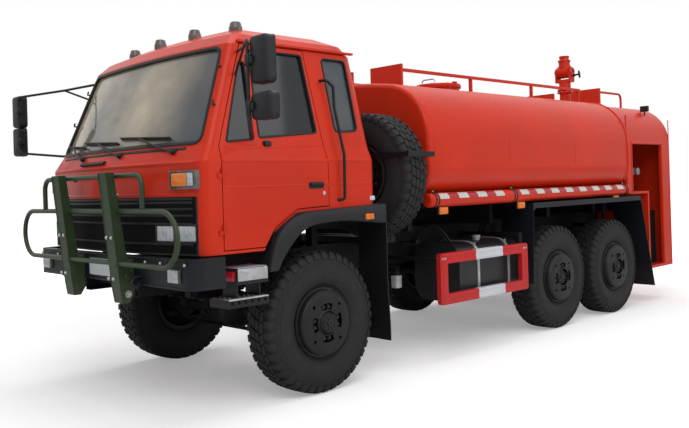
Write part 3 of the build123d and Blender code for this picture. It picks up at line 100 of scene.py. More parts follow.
def shader(name, colour, rough, other=None, metal=0.0, coat=0.0, drift=0.10, grain=3.0, bump=0.0,
           bump_grain=80.0, dust=0.0, dust_top=1.2, alpha=1.0, glow=0.0, gloss=0.25, fade=None):
    """A Principled material whose colour drifts, with a fine bump, and dust towards the ground; where a fade
    is given, the second colour thins out across X as a painted reflection.
    """
    material = bpy.data.materials.new(name)
    material.use_nodes = True
    tree = material.node_tree
    base = tree.nodes["Principled BSDF"]
    place = node(tree, "TexCoord", {}, "Object")
    cloud = node(tree, "TexNoise", {"Vector": place, "Scale": grain, "Detail": 6.0}, "Fac")
    share = node(tree, "MapRange", {"Value": cloud, "From Min": 0.3, "From Max": 0.7}, "Result")
    # The fade paints a reflection: the second colour is full at low X and thins out as X grows.
    if fade:
        across = node(tree, "SeparateXYZ", {"Vector": place}, "X")
        painted_reflection_share = node(tree, "MapRange", {"Value": across, "From Min": fade[0], "From Max": fade[1],
                                       "To Min": 1.0, "To Max": 0.12}, "Result")
        share = node(tree, "Math", {0: share, 1: painted_reflection_share}, "Value", operation="MULTIPLY")
    darker = colour if other else [c * (1 - drift) for c in colour]
    lighter = other or [min(1, c * (1 + drift)) for c in colour]
    result = node(tree, "Mix", {"Factor": share, "A": (*darker, 1), "B": (*lighter, 1)}, "Result",
                  data_type="RGBA")
    if dust:
        height = node(tree, "SeparateXYZ", {"Vector": place}, "Z")
        low = node(tree, "MapRange", {"Value": height, "From Min": dust_top, "From Max": 0.0,
                                      "To Max": dust}, "Result")
        patches = node(tree, "TexNoise", {"Vector": place, "Scale": grain * 4, "Detail": 8.0}, "Fac")
        amount = node(tree, "Math", {0: low, 1: patches}, "Value", operation="MULTIPLY")
        result = node(tree, "Mix", {"Factor": amount, "A": result, "B": (*DUST, 1)}, "Result",
                      data_type="RGBA")
    shine = node(tree, "MapRange", {"Value": cloud, "To Min": rough * 0.85,
                                    "To Max": min(1.0, rough * 1.15)}, "Result")
    feed(tree, base, {"Base Color": result, "Roughness": shine, "Metallic": metal, "Coat Weight": coat,
                      "Coat Roughness": 0.08, "Alpha": alpha, "Specular IOR Level": gloss})
    if glow:
        feed(tree, base, {"Emission Color": result, "Emission Strength": glow})
    if bump:
        fine = node(tree, "TexNoise", {"Vector": place, "Scale": bump_grain, "Detail": 3.0}, "Fac")
        relief = node(tree, "Bump", {"Height": fine, "Strength": bump, "Distance": 0.004}, "Normal")
        feed(tree, base, {"Normal": relief})
    return material


M = {
    "red": shader("red paint", (0.550, 0.026, 0.007), 0.36, coat=0.07, drift=0.07, grain=1.6, bump=0.03,
                  dust=0.07, gloss=0.15),
    "guard": shader("guard red", (0.48, 0.010, 0.011), 0.35, coat=0.08, drift=0.08, dust=0.12, gloss=0.2),
    "white": shader("guard white", (0.56, 0.59, 0.63), 0.4, drift=0.07, dust=0.2),
    "black": shader("blue-black paint", (0.0050, 0.0072, 0.0110), 0.42, coat=0.04, drift=0.25, dust=0.12,
                    gloss=0.2),
    "plastic": shader("black grained plastic", (0.011, 0.0115, 0.014), 0.5, drift=0.2, bump=0.25, dust=0.12),
    "chassis": shader("chassis black", (0.0035, 0.004, 0.005), 0.6, drift=0.3, bump=0.1, dust=0.12,
                      gloss=0.15),
    "green": shader("army green", (0.018, 0.036, 0.013), 0.45, coat=0.08, drift=0.2, bump=0.1, dust=0.22,
                    dust_top=1.9),
    "rubber": shader("tyre rubber", (0.0105, 0.0115, 0.0145), 0.7, drift=0.25, grain=8, bump=0.2, dust=0.10,
                     gloss=0.2),
    "trim": shader("black rubber", (0.006, 0.006, 0.0065), 0.5, drift=0.1, grain=6, bump=0.05),
    "rim": shader("dark wheel paint", (0.0060, 0.0068, 0.0090), 0.42, drift=0.2, bump=0.1, dust=0.10,
                  gloss=0.2),
    # Windshield: the beige second colour, in patches and fading across X, is a painted reflection on the
    # glass, with a dusty film.
    "windshield": shader("glass with dust and painted reflection", (0.055, 0.070, 0.088), 0.06, other=(0.66, 0.56, 0.40), coat=0.2,
                         grain=1.4, alpha=0.88, fade=(0.30, 0.85)),
    "glass": shader("dark glass", (0.010, 0.012, 0.016), 0.05, coat=0.3, drift=0.3, alpha=0.92),
    "grey": shader("grey metal", (0.017, 0.017, 0.019), 0.30, drift=0.2, bump=0.05, dust=0.06),
    "steel": shader("worn steel", (0.40, 0.40, 0.41), 0.35, metal=0.9, drift=0.2, bump=0.05, dust=0.2),
    "bright": shader("aluminium tread", (0.40, 0.41, 0.43), 0.35, metal=0.4, drift=0.2, grain=14, bump=0.1),
    "dash": shader("grey dashboard", (0.05, 0.05, 0.052), 0.6, drift=0.1, bump=0.2),
    "seat": shader("seat cloth", (0.085, 0.08, 0.075), 0.9, drift=0.15, grain=12, bump=0.5, bump_grain=420),
    "orange": shader("orange lens", (0.70, 0.17, 0.012), 0.18, coat=0.4, drift=0.12, grain=30, glow=0.04),
    "clear": shader("clear lens", (0.42, 0.45, 0.47), 0.15, coat=0.5, drift=0.2, grain=30),
    "ruby": shader("red lens", (0.36, 0.010, 0.016), 0.18, coat=0.4, drift=0.15, grain=30, glow=0.02),
    "mirror": shader("mirror glass", (0.55, 0.57, 0.60), 0.04, metal=1.0, drift=0.05),
    "tape_white": shader("white reflective tape", (0.50, 0.54, 0.50), 0.3, coat=0.2, grain=60, bump=0.06,
                         bump_grain=300),
    "tape_red": shader("red reflective tape", (0.36, 0.008, 0.020), 0.3, coat=0.2, grain=60, bump=0.06,
                       bump_grain=300),
    # Painted shade: near-black for holes, bores and recesses that would lie in shade.
    "dark": shader("unlit recess", (0.002, 0.002, 0.0025), 0.8, drift=0.2, gloss=0.1),
    "lamp": shader("smoked lamp dome", (0.105, 0.098, 0.090), 0.25, coat=0.3, drift=0.3, grain=20),
}
FINISH = {
    "red": ("cab_shell", "door_left", "door_right", "tank", "top_rails", "manhole_lid", "side_pipes",
            "pump_cabin", "monitor_base", "monitor_turret", "monitor_barrel", "ladder"),
    "guard": ("side_guards",),
    "black": ("bumper", "rear_fenders", "cab_steps", "battery_box", "spare_carrier"),
    "plastic": ("grille_panel", "front_fenders", "mirror_left", "mirror_right"),
    "chassis": ("frame_rails", "axles", "knuckle_left", "knuckle_right", "tie_rod", "leaf_springs",
                "engine_block", "driveline", "pump_unit"),
    "green": ("bull_bar",),
    "rubber": ("spare_tyre", *("tyre_" + corner for corner in CORNERS)),
    "rim": ("spare_rim", *("rim_" + corner for corner in CORNERS)),
    "windshield": ("cab_glass",),
    "glass": ("door_glass_left", "door_glass_right"),
    "grey": ("fuel_tank",),
    "dash": ("dashboard",),
    "seat": ("seats",),
    "lamp": ("lamps",),
    "trim": ("cab_rails",),
}
for key, names in FINISH.items():
    for name in names:
        slots = NODES[name].data.materials
        slots.clear()
        slots.append(M[key])


# Mesh building

SHARP = math.radians(38)


def spot(x, y, z):
    """A point by its distance across, distance behind the front axle, and height."""
    return Vector((x, AXLE_1 + y, z))


def linked(name, data):
    """A new object in the scene."""
    made = bpy.data.objects.new(name, data)
    bpy.context.scene.collection.objects.link(made)
    return made


def meshed(name, bm):
    """The mesh that a builder holds; the builder is freed."""
    mesh = bpy.data.meshes.new(name)
    bm.to_mesh(mesh)
    bm.free()
    return mesh


def piece(name, bm, finishes, body="chassis"):
    """A finished mesh as an object that rides on a body."""
    bmesh.ops.dissolve_degenerate(bm, dist=1e-6, edges=bm.edges)
    bmesh.ops.recalc_face_normals(bm, faces=bm.faces)
    mesh = meshed(name, bm)
    mesh.shade_smooth()
    mesh.set_sharp_from_angle(angle=SHARP)
    for key in finishes:
        mesh.materials.append(M[key])
    made = linked(name, mesh)
    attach(made, body)
    return made


def loft(bm, loops, index=0, ring=False, at=None):
    """Skins a row of equal loops; a ring joins the last to the first, and otherwise both ends are capped."""
    rows = [[bm.verts.new(at @ Vector(p) if at else p) for p in loop] for loop in loops]
    count = len(rows[0])
    for low, high in zip(rows, rows[1:] + (rows[:1] if ring else [])):
        for i in range(count):
            j = (i + 1) % count
            bm.faces.new((low[i], low[j], high[j], high[i])).material_index = index
    if not ring:
        for row in (rows[0], rows[-1]):
            bm.faces.new(row).material_index = index


def aim(origin, way):
    """A frame at a point whose local Z looks along a direction."""
    return Matrix.Translation(origin) @ Vector(way).to_track_quat("Z", "Y").to_matrix().to_4x4()


def angles(count, start=0.0):
    """A full turn in equal steps, begun at a share of a step."""
    return [math.tau * (k + start) / count for k in range(count)]


def orbit(at, angle, radius, along=0.0):
    """A point round a frame's Z axis."""
    return at @ Vector((radius * math.cos(angle), radius * math.sin(angle), along))


def turned(bm, profile, at, sides=20, index=0):
    """A turned form: pairs of distance along the local Z axis and radius."""
    loops = [[(r * math.cos(a), r * math.sin(a), along) for a in angles(sides)] for along, r in profile]
    loft(bm, loops, index, at=at)


def hoop(bm, section, at, sides=48, index=0):
    """A closed ring with a section of pairs: distance along the local Z axis and radius."""
    loops = [[(r * math.cos(a), r * math.sin(a), along) for along, r in section] for a in angles(sides)]
    loft(bm, loops, index, ring=True, at=at)


def block(bm, start, end, edge=0.004, index=0):
    """A box between two opposite corners, with its edges eased off."""
    (x0, x1), (y0, y1), (z0, z1) = (sorted(pair) for pair in zip(start, end))
    loops = []
    for z, inset in ((z0, edge), (z0 + edge, 0), (z1 - edge, 0), (z1, edge)):
        a, b, c, d = x0 + inset, x1 - inset, y0 + inset, y1 - inset
        loops.append([(a + edge, c, z), (b - edge, c, z), (b, c + edge, z), (b, d - edge, z),
                      (b - edge, d, z), (a + edge, d, z), (a, d - edge, z), (a, c + edge, z)])
    loft(bm, loops, index)


def bolt(bm, origin, way, size=0.012, index=0):
    """A hexagon head on its washer."""
    at = aim(origin, way)
    turned(bm, ((-0.001, size * 1.35), (size * 0.2, size * 1.35)), at, 14, index)
    turned(bm, ((0, size), (size * 0.8, size), (size, size * 0.82)), at, 6, index)


def bolts(bm, at, way, count, radius, along, size, index=1, start=0.0):
    """A ring of bolts round a frame's Z axis."""
    for a in angles(count, start):
        bolt(bm, orbit(at, a, radius, along), way, size, index)


def bar(bm, points, radius, sides=8, index=0):
    """A round bar along a row of points."""
    points = [Vector(p) for p in points]
    across = None
    loops = []
    for i, here in enumerate(points):
        way = (points[min(i + 1, len(points) - 1)] - points[max(i - 1, 0)]).normalized()
        across = across or way.orthogonal()
        across = (across - way * across.dot(way)).normalized()
        up = way.cross(across)
        loops.append([here + (across * math.cos(a) + up * math.sin(a)) * radius for a in angles(sides)])
    loft(bm, loops, index)


def bend(before, here, after, radius, limit, steps):
    """The points of one eased corner; each end takes up a limited share of its run."""
    before, here, after = Vector(before), Vector(here), Vector(after)
    start = here + (before - here).normalized() * min(radius, (before - here).length * limit)
    end = here + (after - here).normalized() * min(radius, (after - here).length * limit)
    shares = [k / steps for k in range(steps + 1)]
    return [start * (1 - t) ** 2 + here * 2 * t * (1 - t) + end * t ** 2 for t in shares]


def rounded(corners, radius, steps=4):
    """A flat outline with its corners eased off."""
    outline = []
    for i, corner in enumerate(corners):
        outline += bend(corners[i - 1], corner, corners[(i + 1) % len(corners)], radius, 0.45, steps)
    return outline


def rect(u0, v0, u1, v1, radius=0.01):
    """A rectangle with eased corners."""
    return rounded([(u0, v0), (u1, v0), (u1, v1), (u0, v1)], radius)


def grown(outline, step):
    """A flat outline moved outward by a step, or inward where the step is negative."""
    after = outline[1:] + outline[:1]
    turn = 1 if sum(a.x * b.y - b.x * a.y for a, b in zip(outline, after)) > 0 else -1
    count = len(outline)
    result = []
    for i, here in enumerate(outline):
        into = (here - outline[i - 1]).normalized()
        away = (after[i] - here).normalized()
        normal = (Vector((into.y + away.y, -into.x - away.x)) * turn).normalized()
        stretch = normal.dot(Vector((into.y, -into.x)) * turn)
        result.append(here + normal * step / max(0.5, stretch))
    edges = [there - here for here, there in zip(outline, after)]
    crossed = [(result[(i + 1) % count] - result[i]).dot(edges[i]) <= 0 for i in range(count)]
    for first in range(count):
        if crossed[first] and not crossed[first - 1]:
            last = first
            while crossed[last % count] and last < first + count:
                last += 1
            span = result[last % count] - result[first]
            way, back = edges[first - 1], edges[last % count]
            across = way.x * back.y - way.y * back.x
            share = (span.x * back.y - span.y * back.x) / across if abs(across) > 1e-12 else 0
            meeting = result[first] + way * share
            for k in range(first, last + 1):
                result[k % count] = meeting
    return result


def laid(bm, place, outline, rows, index=0, ring=False):
    """A form on a surface: its outline grown and raised by the pairs in rows."""
    loops = [[place(p.x, p.y, out) for p in grown(outline, grow)] for grow, out in rows]
    loft(bm, loops, index, ring=ring)


def raised(height, ease, top, foot=-0.001):
    """The rows of a low plate: foot, edge, and a top drawn in by a step."""
    return (0, foot), (0, height), (-ease, top)


def strip(bm, place, start, end, width, height, steps=1, index=0):
    """A low ridge along a line on a surface."""
    start, end = Vector(start), Vector(end)
    across = Vector((start.y - end.y, end.x - start.x)).normalized() * width / 2
    section = ((-1, -0.002), (-1, 0.0003), (-0.35, height), (0.35, height), (1, 0.0003), (1, -0.002))
    loops = []
    for k in range(steps + 1):
        here = start.lerp(end, k / steps)
        loops.append([place(here.x + across.x * share, here.y + across.y * share, out)
                      for share, out in section])
    loft(bm, loops, index)


# Surfaces of the cab and of flat walls: two lengths and a step outward give a point

# Heights of the cab with the half width, front middle and front corner there
CAB = (
    (1.172, 1.190, -1.250, -1.105),
    (1.830, 1.190, -1.250, -1.105),
    (1.945, 1.158, -1.185, -1.035),
    (2.700, 1.038, -0.830, -0.745),
    (2.785, 0.985, -0.735, -0.655),
    (2.862, 0.800, -0.560, -0.500),
)


def cab_level(z):
    """Half width, front middle and front corner of the cab at a height."""
    for low, high in zip(CAB, CAB[1:]):
        if z <= high[0]:
            share = (z - low[0]) / (high[0] - low[0])
            return [a + (b - a) * share for a, b in zip(low[1:], high[1:])]
    return CAB[-1][1:]


def cab_side(side):
    """The cab's side: distance behind the front axle, height."""
    return lambda y, z, out: spot(side * (cab_level(z)[0] + out), y, z)


def cab_front(x, z, out):
    """The cab's front: distance across, height."""
    half, middle, corner = cab_level(z)
    bulge = corner - middle
    radius = (half ** 2 + bulge ** 2) / (2 * bulge)
    return spot(x, middle + radius - math.sqrt(radius ** 2 - x ** 2) - out, z)


def cab_rear(x, z, out):
    """The cab's rear, which leans forward: distance across, height."""
    return spot(x, 0.612 - (z - 1.945) * 0.0887 + out, z)


def side_wall(x):
    """A flat wall that looks sideways: distance behind the front axle, height."""
    way = 1 if x > 0 else -1
    return lambda y, z, out: spot(x + way * out, y, z)


def end_wall(y, way):
    """A flat wall that looks forward, -1, or back, 1: distance across, height."""
    return lambda x, z, out: spot(x, y + way * out, z)


def deck(z):
    """A level surface: distance across, distance behind the front axle."""
    return lambda x, y, out: spot(x, y, z + out)


def top_of(name, x, y):
    """Height of a node's top surface at a point of the plan."""
    return NODES[name].ray_cast(spot(x, y, 9), (0, 0, -1))[1].z


# Tyres

PITCHES = 41
TYRE_BORE = 0.2545
TREAD_ROOT = 0.541
# Outboard half of the carcass: distance from its middle, radius
CARCASS = [
    (0.104, TYRE_BORE), (0.106, 0.272), (0.1105, 0.2835), (0.119, 0.292), (0.1275, 0.303), (0.1300, 0.304),
    (0.1310, 0.308), (0.1295, 0.310), (0.1365, 0.323), (0.1440, 0.343), (0.1500, 0.364), (0.1540, 0.384),
    (0.1558, 0.404), (0.1552, 0.424), (0.1530, 0.442), (0.1545, 0.4435), (0.1535, 0.449), (0.1510, 0.450),
    (0.1495, 0.462), (0.1510, 0.4635), (0.1500, 0.469), (0.1475, 0.470), (0.1445, 0.484), (0.1460, 0.4855),
    (0.1448, 0.491), (0.1420, 0.492), (0.1390, 0.506), (0.1340, 0.522), (0.1270, 0.534), (0.1150, 0.5415),
    (0.0900, 0.5440), (0.0500, 0.5450),
]
CENTRE_BLOCK = ((-0.023, TREAD_ROOT), (-0.0215, 0.558), (-0.0195, TYRE_R), (0.0195, TYRE_R), (0.0215, 0.558),
                (0.023, TREAD_ROOT))
MIDDLE_BLOCK = ((0.0285, TREAD_ROOT), (0.0300, 0.5576), (0.0320, 0.5596), (0.0715, 0.5586), (0.0735, 0.5566),
                (0.0750, TREAD_ROOT))
SHOULDER_LUG = (
    (0.0805, TREAD_ROOT), (0.0820, 0.5560), (0.0840, 0.5580), (0.1150, 0.5560), (0.1235, 0.5525),
    (0.1325, 0.5440), (0.1415, 0.5275), (0.1490, 0.5040), (0.1480, 0.4975), (0.1380, 0.5040),
    (0.1270, 0.5270), (0.1150, 0.5400),
)


def tread(bm, section, first, last, slant, side):
    """One block of the tread carried round from one share of a pitch to another."""
    middle = (section[0][0] + section[-1][0]) / 2
    ease = 0.03
    loops = []
    for share, drop in ((first, 0.0025), (first + ease, 0), (last - ease, 0), (last, 0.0025)):
        loop = []
        for x, r in section:
            angle = math.tau / PITCHES * (share + slant * (x - middle) / 0.05)
            r = r - drop if r > 0.549 else r
            loop.append((side * x, r * math.cos(angle), r * math.sin(angle)))
        loops.append(loop)
    loft(bm, loops)


def tyre_mesh():
    """The tyre about the X axis at the origin, as one mesh for all seven."""
    bm = bmesh.new()
    section = CARCASS + [(-x, r) for x, r in reversed(CARCASS)] + [(-0.06, TYRE_BORE), (0.06, TYRE_BORE)]
    loops = [[(x, r * math.cos(a), r * math.sin(a)) for x, r in section] for a in angles(PITCHES * 3)]
    loft(bm, loops, ring=True)
    for pitch in range(PITCHES):
        tread(bm, CENTRE_BLOCK, pitch + 0.07, pitch + 0.93, 0.22, 1)
        for side, start in ((-1, pitch + 0.5), (1, pitch)):
            tread(bm, MIDDLE_BLOCK, start + 0.32, start + 1.18, -0.26, side)
            tread(bm, SHOULDER_LUG, start + 0.02, start + 0.66, 0.10, side)
    bmesh.ops.recalc_face_normals(bm, faces=bm.faces)
    mesh = meshed("tyre", bm)
    mesh.shade_smooth()
    mesh.set_sharp_from_angle(angle=math.radians(32))
    mesh.materials.append(M["rubber"])
    return mesh


def put_tyre(mesh, name, place, body, replaced):
    """One tyre at its wheel, standing for the CAD tyre."""
    tyre = linked(name, mesh)
    tyre.matrix_world = place
    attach(tyre, body)
    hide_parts(replaced)


# Wheels: corner, side, axle, body, outboard reach of the hub's nose
WHEELS = [
    (f"{axle}_{name}", side, y, f"wheel_{axle}_{name}", nose)
    for axle, y, nose in (("front", AXLE_1, 0.218), ("middle", AXLE_2, 0.176), ("rear", AXLE_3, 0.176))
    for name, side in SIDES
]


def wheel_trim(name, at, body, nose):
    """Lock ring, wheel nuts, hub bolts and cap, and the valve, on a rim; local Z looks outboard."""
    bm = bmesh.new()
    out = at.to_3x3() @ UP
    hoop(bm, ((0.1175, 0.2745), (0.1215, 0.2765), (0.1245, 0.2740), (0.1250, 0.2640), (0.1215, 0.2600),
              (0.1170, 0.2600)), at, 72)
    # A thin worn-steel ring on the lock ring's edge: worn metal, and a painted highlight of the flange's
    # edge.
    hoop(bm, ((0.1210, 0.2610), (0.1258, 0.2625), (0.1262, 0.2648), (0.1215, 0.2655)), at, 72, 1)
    hoop(bm, ((0.0600, 0.158), (0.0655, 0.160), (0.0655, 0.164), (0.0600, 0.166)), at)
    bolts(bm, at, out, 10, 0.1375, 0.0622, 0.0165, 2)
    if nose:
        bolts(bm, at, out, 8, 0.052, nose, 0.0085, 2, 0.5)
        turned(bm, ((nose - 0.001, 0.033), (nose + 0.004, 0.033), (nose + 0.009, 0.028),
                    (nose + 0.010, 0.012)), at)
    turned(bm, ((0, 0.006), (0.030, 0.0045), (0.032, 0.006), (0.044, 0.006), (0.046, 0.003)),
           aim(at @ Vector((0.205, 0.0, 0.052)), at.to_3x3() @ Vector((0.35, 0, 1))), 10, 1)
    piece(name, bm, ("rim", "steel", "grey"), body)


def wheel_face(name, at, body):
    """A road wheel's outer disc: a shallow pan with four long openings round the hub and small holes, and a
    near-black ring of painted shade behind the openings.
    """
    bm = bmesh.new()
    out = at.to_3x3() @ UP
    profile = ((0.094, 0.196), (0.100, 0.188), (0.104, 0.187), (0.120, 0.187), (0.145, 0.186), (0.152, 0.185),
               (0.176, 0.184), (0.200, 0.182), (0.238, 0.179), (0.250, 0.174), (0.257, 0.164), (0.261, 0.140),
               (0.266, 0.116))
    sides = 96
    rows = [[bm.verts.new(orbit(at, a, r, z)) for a in angles(sides)] for r, z in profile]
    for ring, (inner, outer) in enumerate(zip(rows, rows[1:])):
        for k in range(sides):
            opening = ring in (2, 3, 4) and (k + 6) % 24 < 13
            hole = ring == 6 and (k + 13) % 24 < 2
            if not opening and not hole:
                bm.faces.new((inner[k], inner[(k + 1) % sides], outer[(k + 1) % sides], outer[k]))
    bmesh.ops.recalc_face_normals(bm, faces=bm.faces)
    bmesh.ops.solidify(bm, geom=bm.faces[:], thickness=0.007)
    for r, z in ((0.243, 0.1785), (0.158, 0.1852)):
        hoop(bm, ((z - 0.002, r - 0.003), (z + 0.0016, r - 0.001), (z + 0.0016, r + 0.001),
                  (z - 0.002, r + 0.003)), at, 72, 2)
    for quarter in range(4):
        for step in (-13, 13):
            stud = orbit(at, math.radians(90 * quarter + step), 0.1240, 0.150)
            bar(bm, [stud, stud + out * 0.022], 0.011, 8, 2)
            bolt(bm, stud + out * 0.010, out, 0.0155, 2)
    # A near-black ring behind the openings: painted shade seen through them.
    hoop(bm, ((0.062, 0.098), (0.150, 0.098), (0.150, 0.150), (0.062, 0.150)), at, 48, 1)
    piece(name, bm, ("rim", "dark", "grey"), body)


def wheels():
    """Tyres and wheel details of the six road wheels and the spare."""
    mesh = tyre_mesh()
    for corner, side, y, body, nose in WHEELS:
        centre = (side * WHEEL_X, y, TYRE_R)
        turn = Matrix.Rotation(math.pi / 2 * len(corner), 4, "X")
        put_tyre(mesh, "tyre_dressed_" + corner, Matrix.Translation(centre) @ turn, body, "tyre_" + corner)
        wheel_trim("wheel_trim_" + corner, aim(centre, (side, 0, 0)), body, nose)
        wheel_face("wheel_face_" + corner, aim(centre, (side, 0, 0)), body)
    centre = spot(0.740, 1.010, 1.710)
    place = Matrix.Translation(centre) @ Matrix.Rotation(math.pi / 2, 4, "Z")
    put_tyre(mesh, "tyre_dressed_spare", place, "chassis", "spare_tyre")
    wheel_trim("wheel_trim_spare", aim(centre, (0, -1, 0)), "chassis", 0)


# Cab: seals, creases, wipers, handles

SEAL = ((0.009, -0.001), (0.008, 0.004), (0.003, 0.006), (-0.005, 0.003), (-0.008, -0.004), (-0.008, -0.0185),
        (-0.002, -0.0185), (0.002, -0.004))
SHIELD_SEAL = ((0.016, -0.001), (0.015, 0.006), (0.006, 0.009), (-0.008, 0.005), (-0.013, -0.004),
               (-0.013, -0.0185), (-0.002, -0.0185), (0.002, -0.004))
VENT = rounded([(-0.885, 1.965), (-0.640, 1.990), (-0.640, 2.560), (-0.690, 2.560)], 0.02)
WINDOW = rounded([(-0.585, 2.000), (-0.015, 2.050), (-0.075, 2.660), (-0.585, 2.660)], 0.02)
QUARTER = rounded([(0.190, 2.060), (0.440, 2.075), (0.405, 2.655), (0.145, 2.655)], 0.04)
SHIELD = rounded([(-1.075, 1.965), (0, 1.965), (1.075, 1.965), (0.965, 2.672), (0, 2.672), (-0.965, 2.672)],
                 0.07, 6)
BACK = rounded([(-0.700, 2.100), (0.700, 2.100), (0.640, 2.600), (-0.640, 2.600)], 0.07)


def finer(outline, step=0.06):
    """More points along the long straight runs of an outline, so that it follows a curved surface."""
    result = []
    for here, there in zip(outline, outline[1:] + outline[:1]):
        parts = max(1, int((there - here).length / step))
        result += [here.lerp(there, k / parts) for k in range(parts)]
    return result


def cab_details():
    """Seals round the glass, pressed creases, wipers and fixings on the cab."""
    bm = bmesh.new()
    laid(bm, cab_front, finer(SHIELD), SHIELD_SEAL, ring=True)
    laid(bm, cab_rear, BACK, SEAL, ring=True)
    for side in BOTH:
        laid(bm, cab_side(side), QUARTER, SEAL, ring=True)
    piece("cab_seals", bm, ("trim",))

    bm = bmesh.new()
    for side in BOTH:
        strip(bm, cab_side(side), (0.088, 1.828), (0.500, 1.828), 0.030, 0.0050)
        strip(bm, cab_side(side), (0.088, 1.640), (0.500, 1.640), 0.020, 0.0030)
        strip(bm, cab_front, (side * 0.86, 1.606), (side * 0.86, 1.814), 0.016, 0.0025)
    strip(bm, cab_front, (-1.115, 1.820), (1.115, 1.820), 0.034, 0.0060, 24)
    strip(bm, cab_front, (-1.115, 1.602), (1.115, 1.602), 0.026, 0.0040, 24)
    piece("cab_creases", bm, ("red",))

    bm = bmesh.new()
    for pivot, tip, start, end in (
        (0.86, 0.40, (0.76, 2.015), (0.12, 2.050)),
        (0.22, -0.24, (0.10, 2.015), (-0.54, 2.050)),
        (-0.42, -0.82, (-0.52, 2.015), (-1.02, 2.045)),
    ):
        turned(bm, ((-0.002, 0.026), (0.012, 0.024), (0.030, 0.016), (0.034, 0.008)),
               aim(cab_front(pivot, 1.905, 0), (0, -0.93, 0.36)), 16)
        bar(bm, [cab_front(pivot, 1.905, 0.026), cab_front((pivot + tip) / 2, 1.965, 0.030),
                 cab_front(tip, 2.030, 0.016)], 0.0075)
        run = [Vector(start).lerp(Vector(end), k / 8) for k in range(9)]
        bar(bm, [cab_front(p.x, p.y, 0.012) for p in run], 0.0065)
        bar(bm, [cab_front(p.x, p.y - 0.010, -0.006) for p in run], 0.0085, 6)
    piece("wipers", bm, ("trim",))

    bm = bmesh.new()
    for side in BOTH:
        for x, z in ((1.105, 2.235), (1.040, 2.520)):
            x *= side * 0.985
            bar(bm, [cab_front(x, z, -0.002), cab_front(x, z, 0.020), cab_front(x, z + 0.03, 0.024)], 0.008)
        laid(bm, cab_front, rect(side * 0.485, 1.725, side * 0.555, 1.745, 0.009),
             raised(0.006, 0.003, 0.008))
        laid(bm, cab_side(side), rect(0.515, 1.500, 0.570, 1.535, 0.006), raised(0.004, 0.002, 0.005), 1)
    strip(bm, cab_front, (-0.400, 1.862), (0.030, 1.862), 0.030, 0.022, 10)
    strip(bm, cab_front, (-0.960, 1.925), (0.960, 1.925), 0.022, 0.006, 24)
    piece("cab_fixings", bm, ("trim", "white"))


def door_details():
    """Seals, creases, handle and lock on each door."""
    for name, side in SIDES:
        place = cab_side(side)
        body = "door_" + name
        bm = bmesh.new()
        laid(bm, place, VENT, SEAL, ring=True)
        laid(bm, place, WINDOW, SEAL, ring=True)
        piece("door_seals_" + name, bm, ("trim",), body)
        bm = bmesh.new()
        strip(bm, place, (-0.938, 1.828), (0.060, 1.828), 0.030, 0.0050)
        strip(bm, place, (-0.935, 1.640), (-0.170, 1.640), 0.020, 0.0030)
        strip(bm, place, (0.014, 1.640), (0.062, 1.640), 0.020, 0.0030)
        strip(bm, place, (-0.900, 1.925), (0.030, 1.955), 0.034, 0.0040, 4)
        piece("door_creases_" + name, bm, ("red",), body)
        bm = bmesh.new()
        laid(bm, place, rect(-0.150, 1.612, 0.002, 1.662, 0.016), raised(0.004, 0.004, 0.006))
        laid(bm, place, rect(-0.140, 1.634, -0.008, 1.656, 0.009), raised(0.018, 0.005, 0.023, 0.005))
        turned(bm, ((-0.001, 0.016), (0.003, 0.016), (0.005, 0.013), (0.005, 0.010), (0.0035, 0.009)),
               aim(place(0.006, 1.574, 0), (side, 0, 0)), 20, 1)
        laid(bm, place, rect(-0.560, 1.935, -0.490, 1.975, 0.014), raised(0.014, 0.006, 0.024))
        piece("door_handle_" + name, bm, ("trim", "steel"), body)


def mirror_details():
    """Mirror glass with its rims, the heads' rounded backs and the clamps on the arms."""
    glazed = end_wall(MIRROR_Y + MIRROR_HALF, 1)
    back = end_wall(MIRROR_Y - MIRROR_HALF, -1)
    for name, side, low_width, low_height in (("left", 1, 0.200, 0.170), ("right", -1, 0.165, 0.270)):
        bm = bmesh.new()
        glass = bmesh.new()
        for x, z, width, height in ((1.890, 2.430, 0.175, 0.300), (1.900, 2.140, low_width, low_height)):
            outline = rect(side * x - width / 2, z - height / 2, side * x + width / 2, z + height / 2, 0.035)
            laid(bm, glazed, outline, ((0.0, -0.006), (0.002, 0.002), (-0.002, 0.005), (-0.009, 0.005),
                                       (-0.011, -0.001)), ring=True)
            laid(bm, back, outline, ((0.0, -0.004), (-0.002, 0.006), (-0.008, 0.014), (-0.018, 0.020)))
            laid(glass, glazed, outline, ((-0.010, -0.003), (-0.010, 0.0025), (-0.011, 0.003)))
            turned(bm, ((0, 0.017), (0.003, 0.019), (0.067, 0.019), (0.070, 0.017)),
                   aim(spot(side * 1.800, MIRROR_Y - 0.055, z - 0.035), UP), 16)
        piece("mirror_shells_" + name, bm, ("plastic",), "door_" + name)
        piece("mirror_glass_" + name, glass, ("mirror",), "door_" + name)


# Front: lamps, grille, bumper and bull bar

HEADLAMPS = (0.800, 1.015)


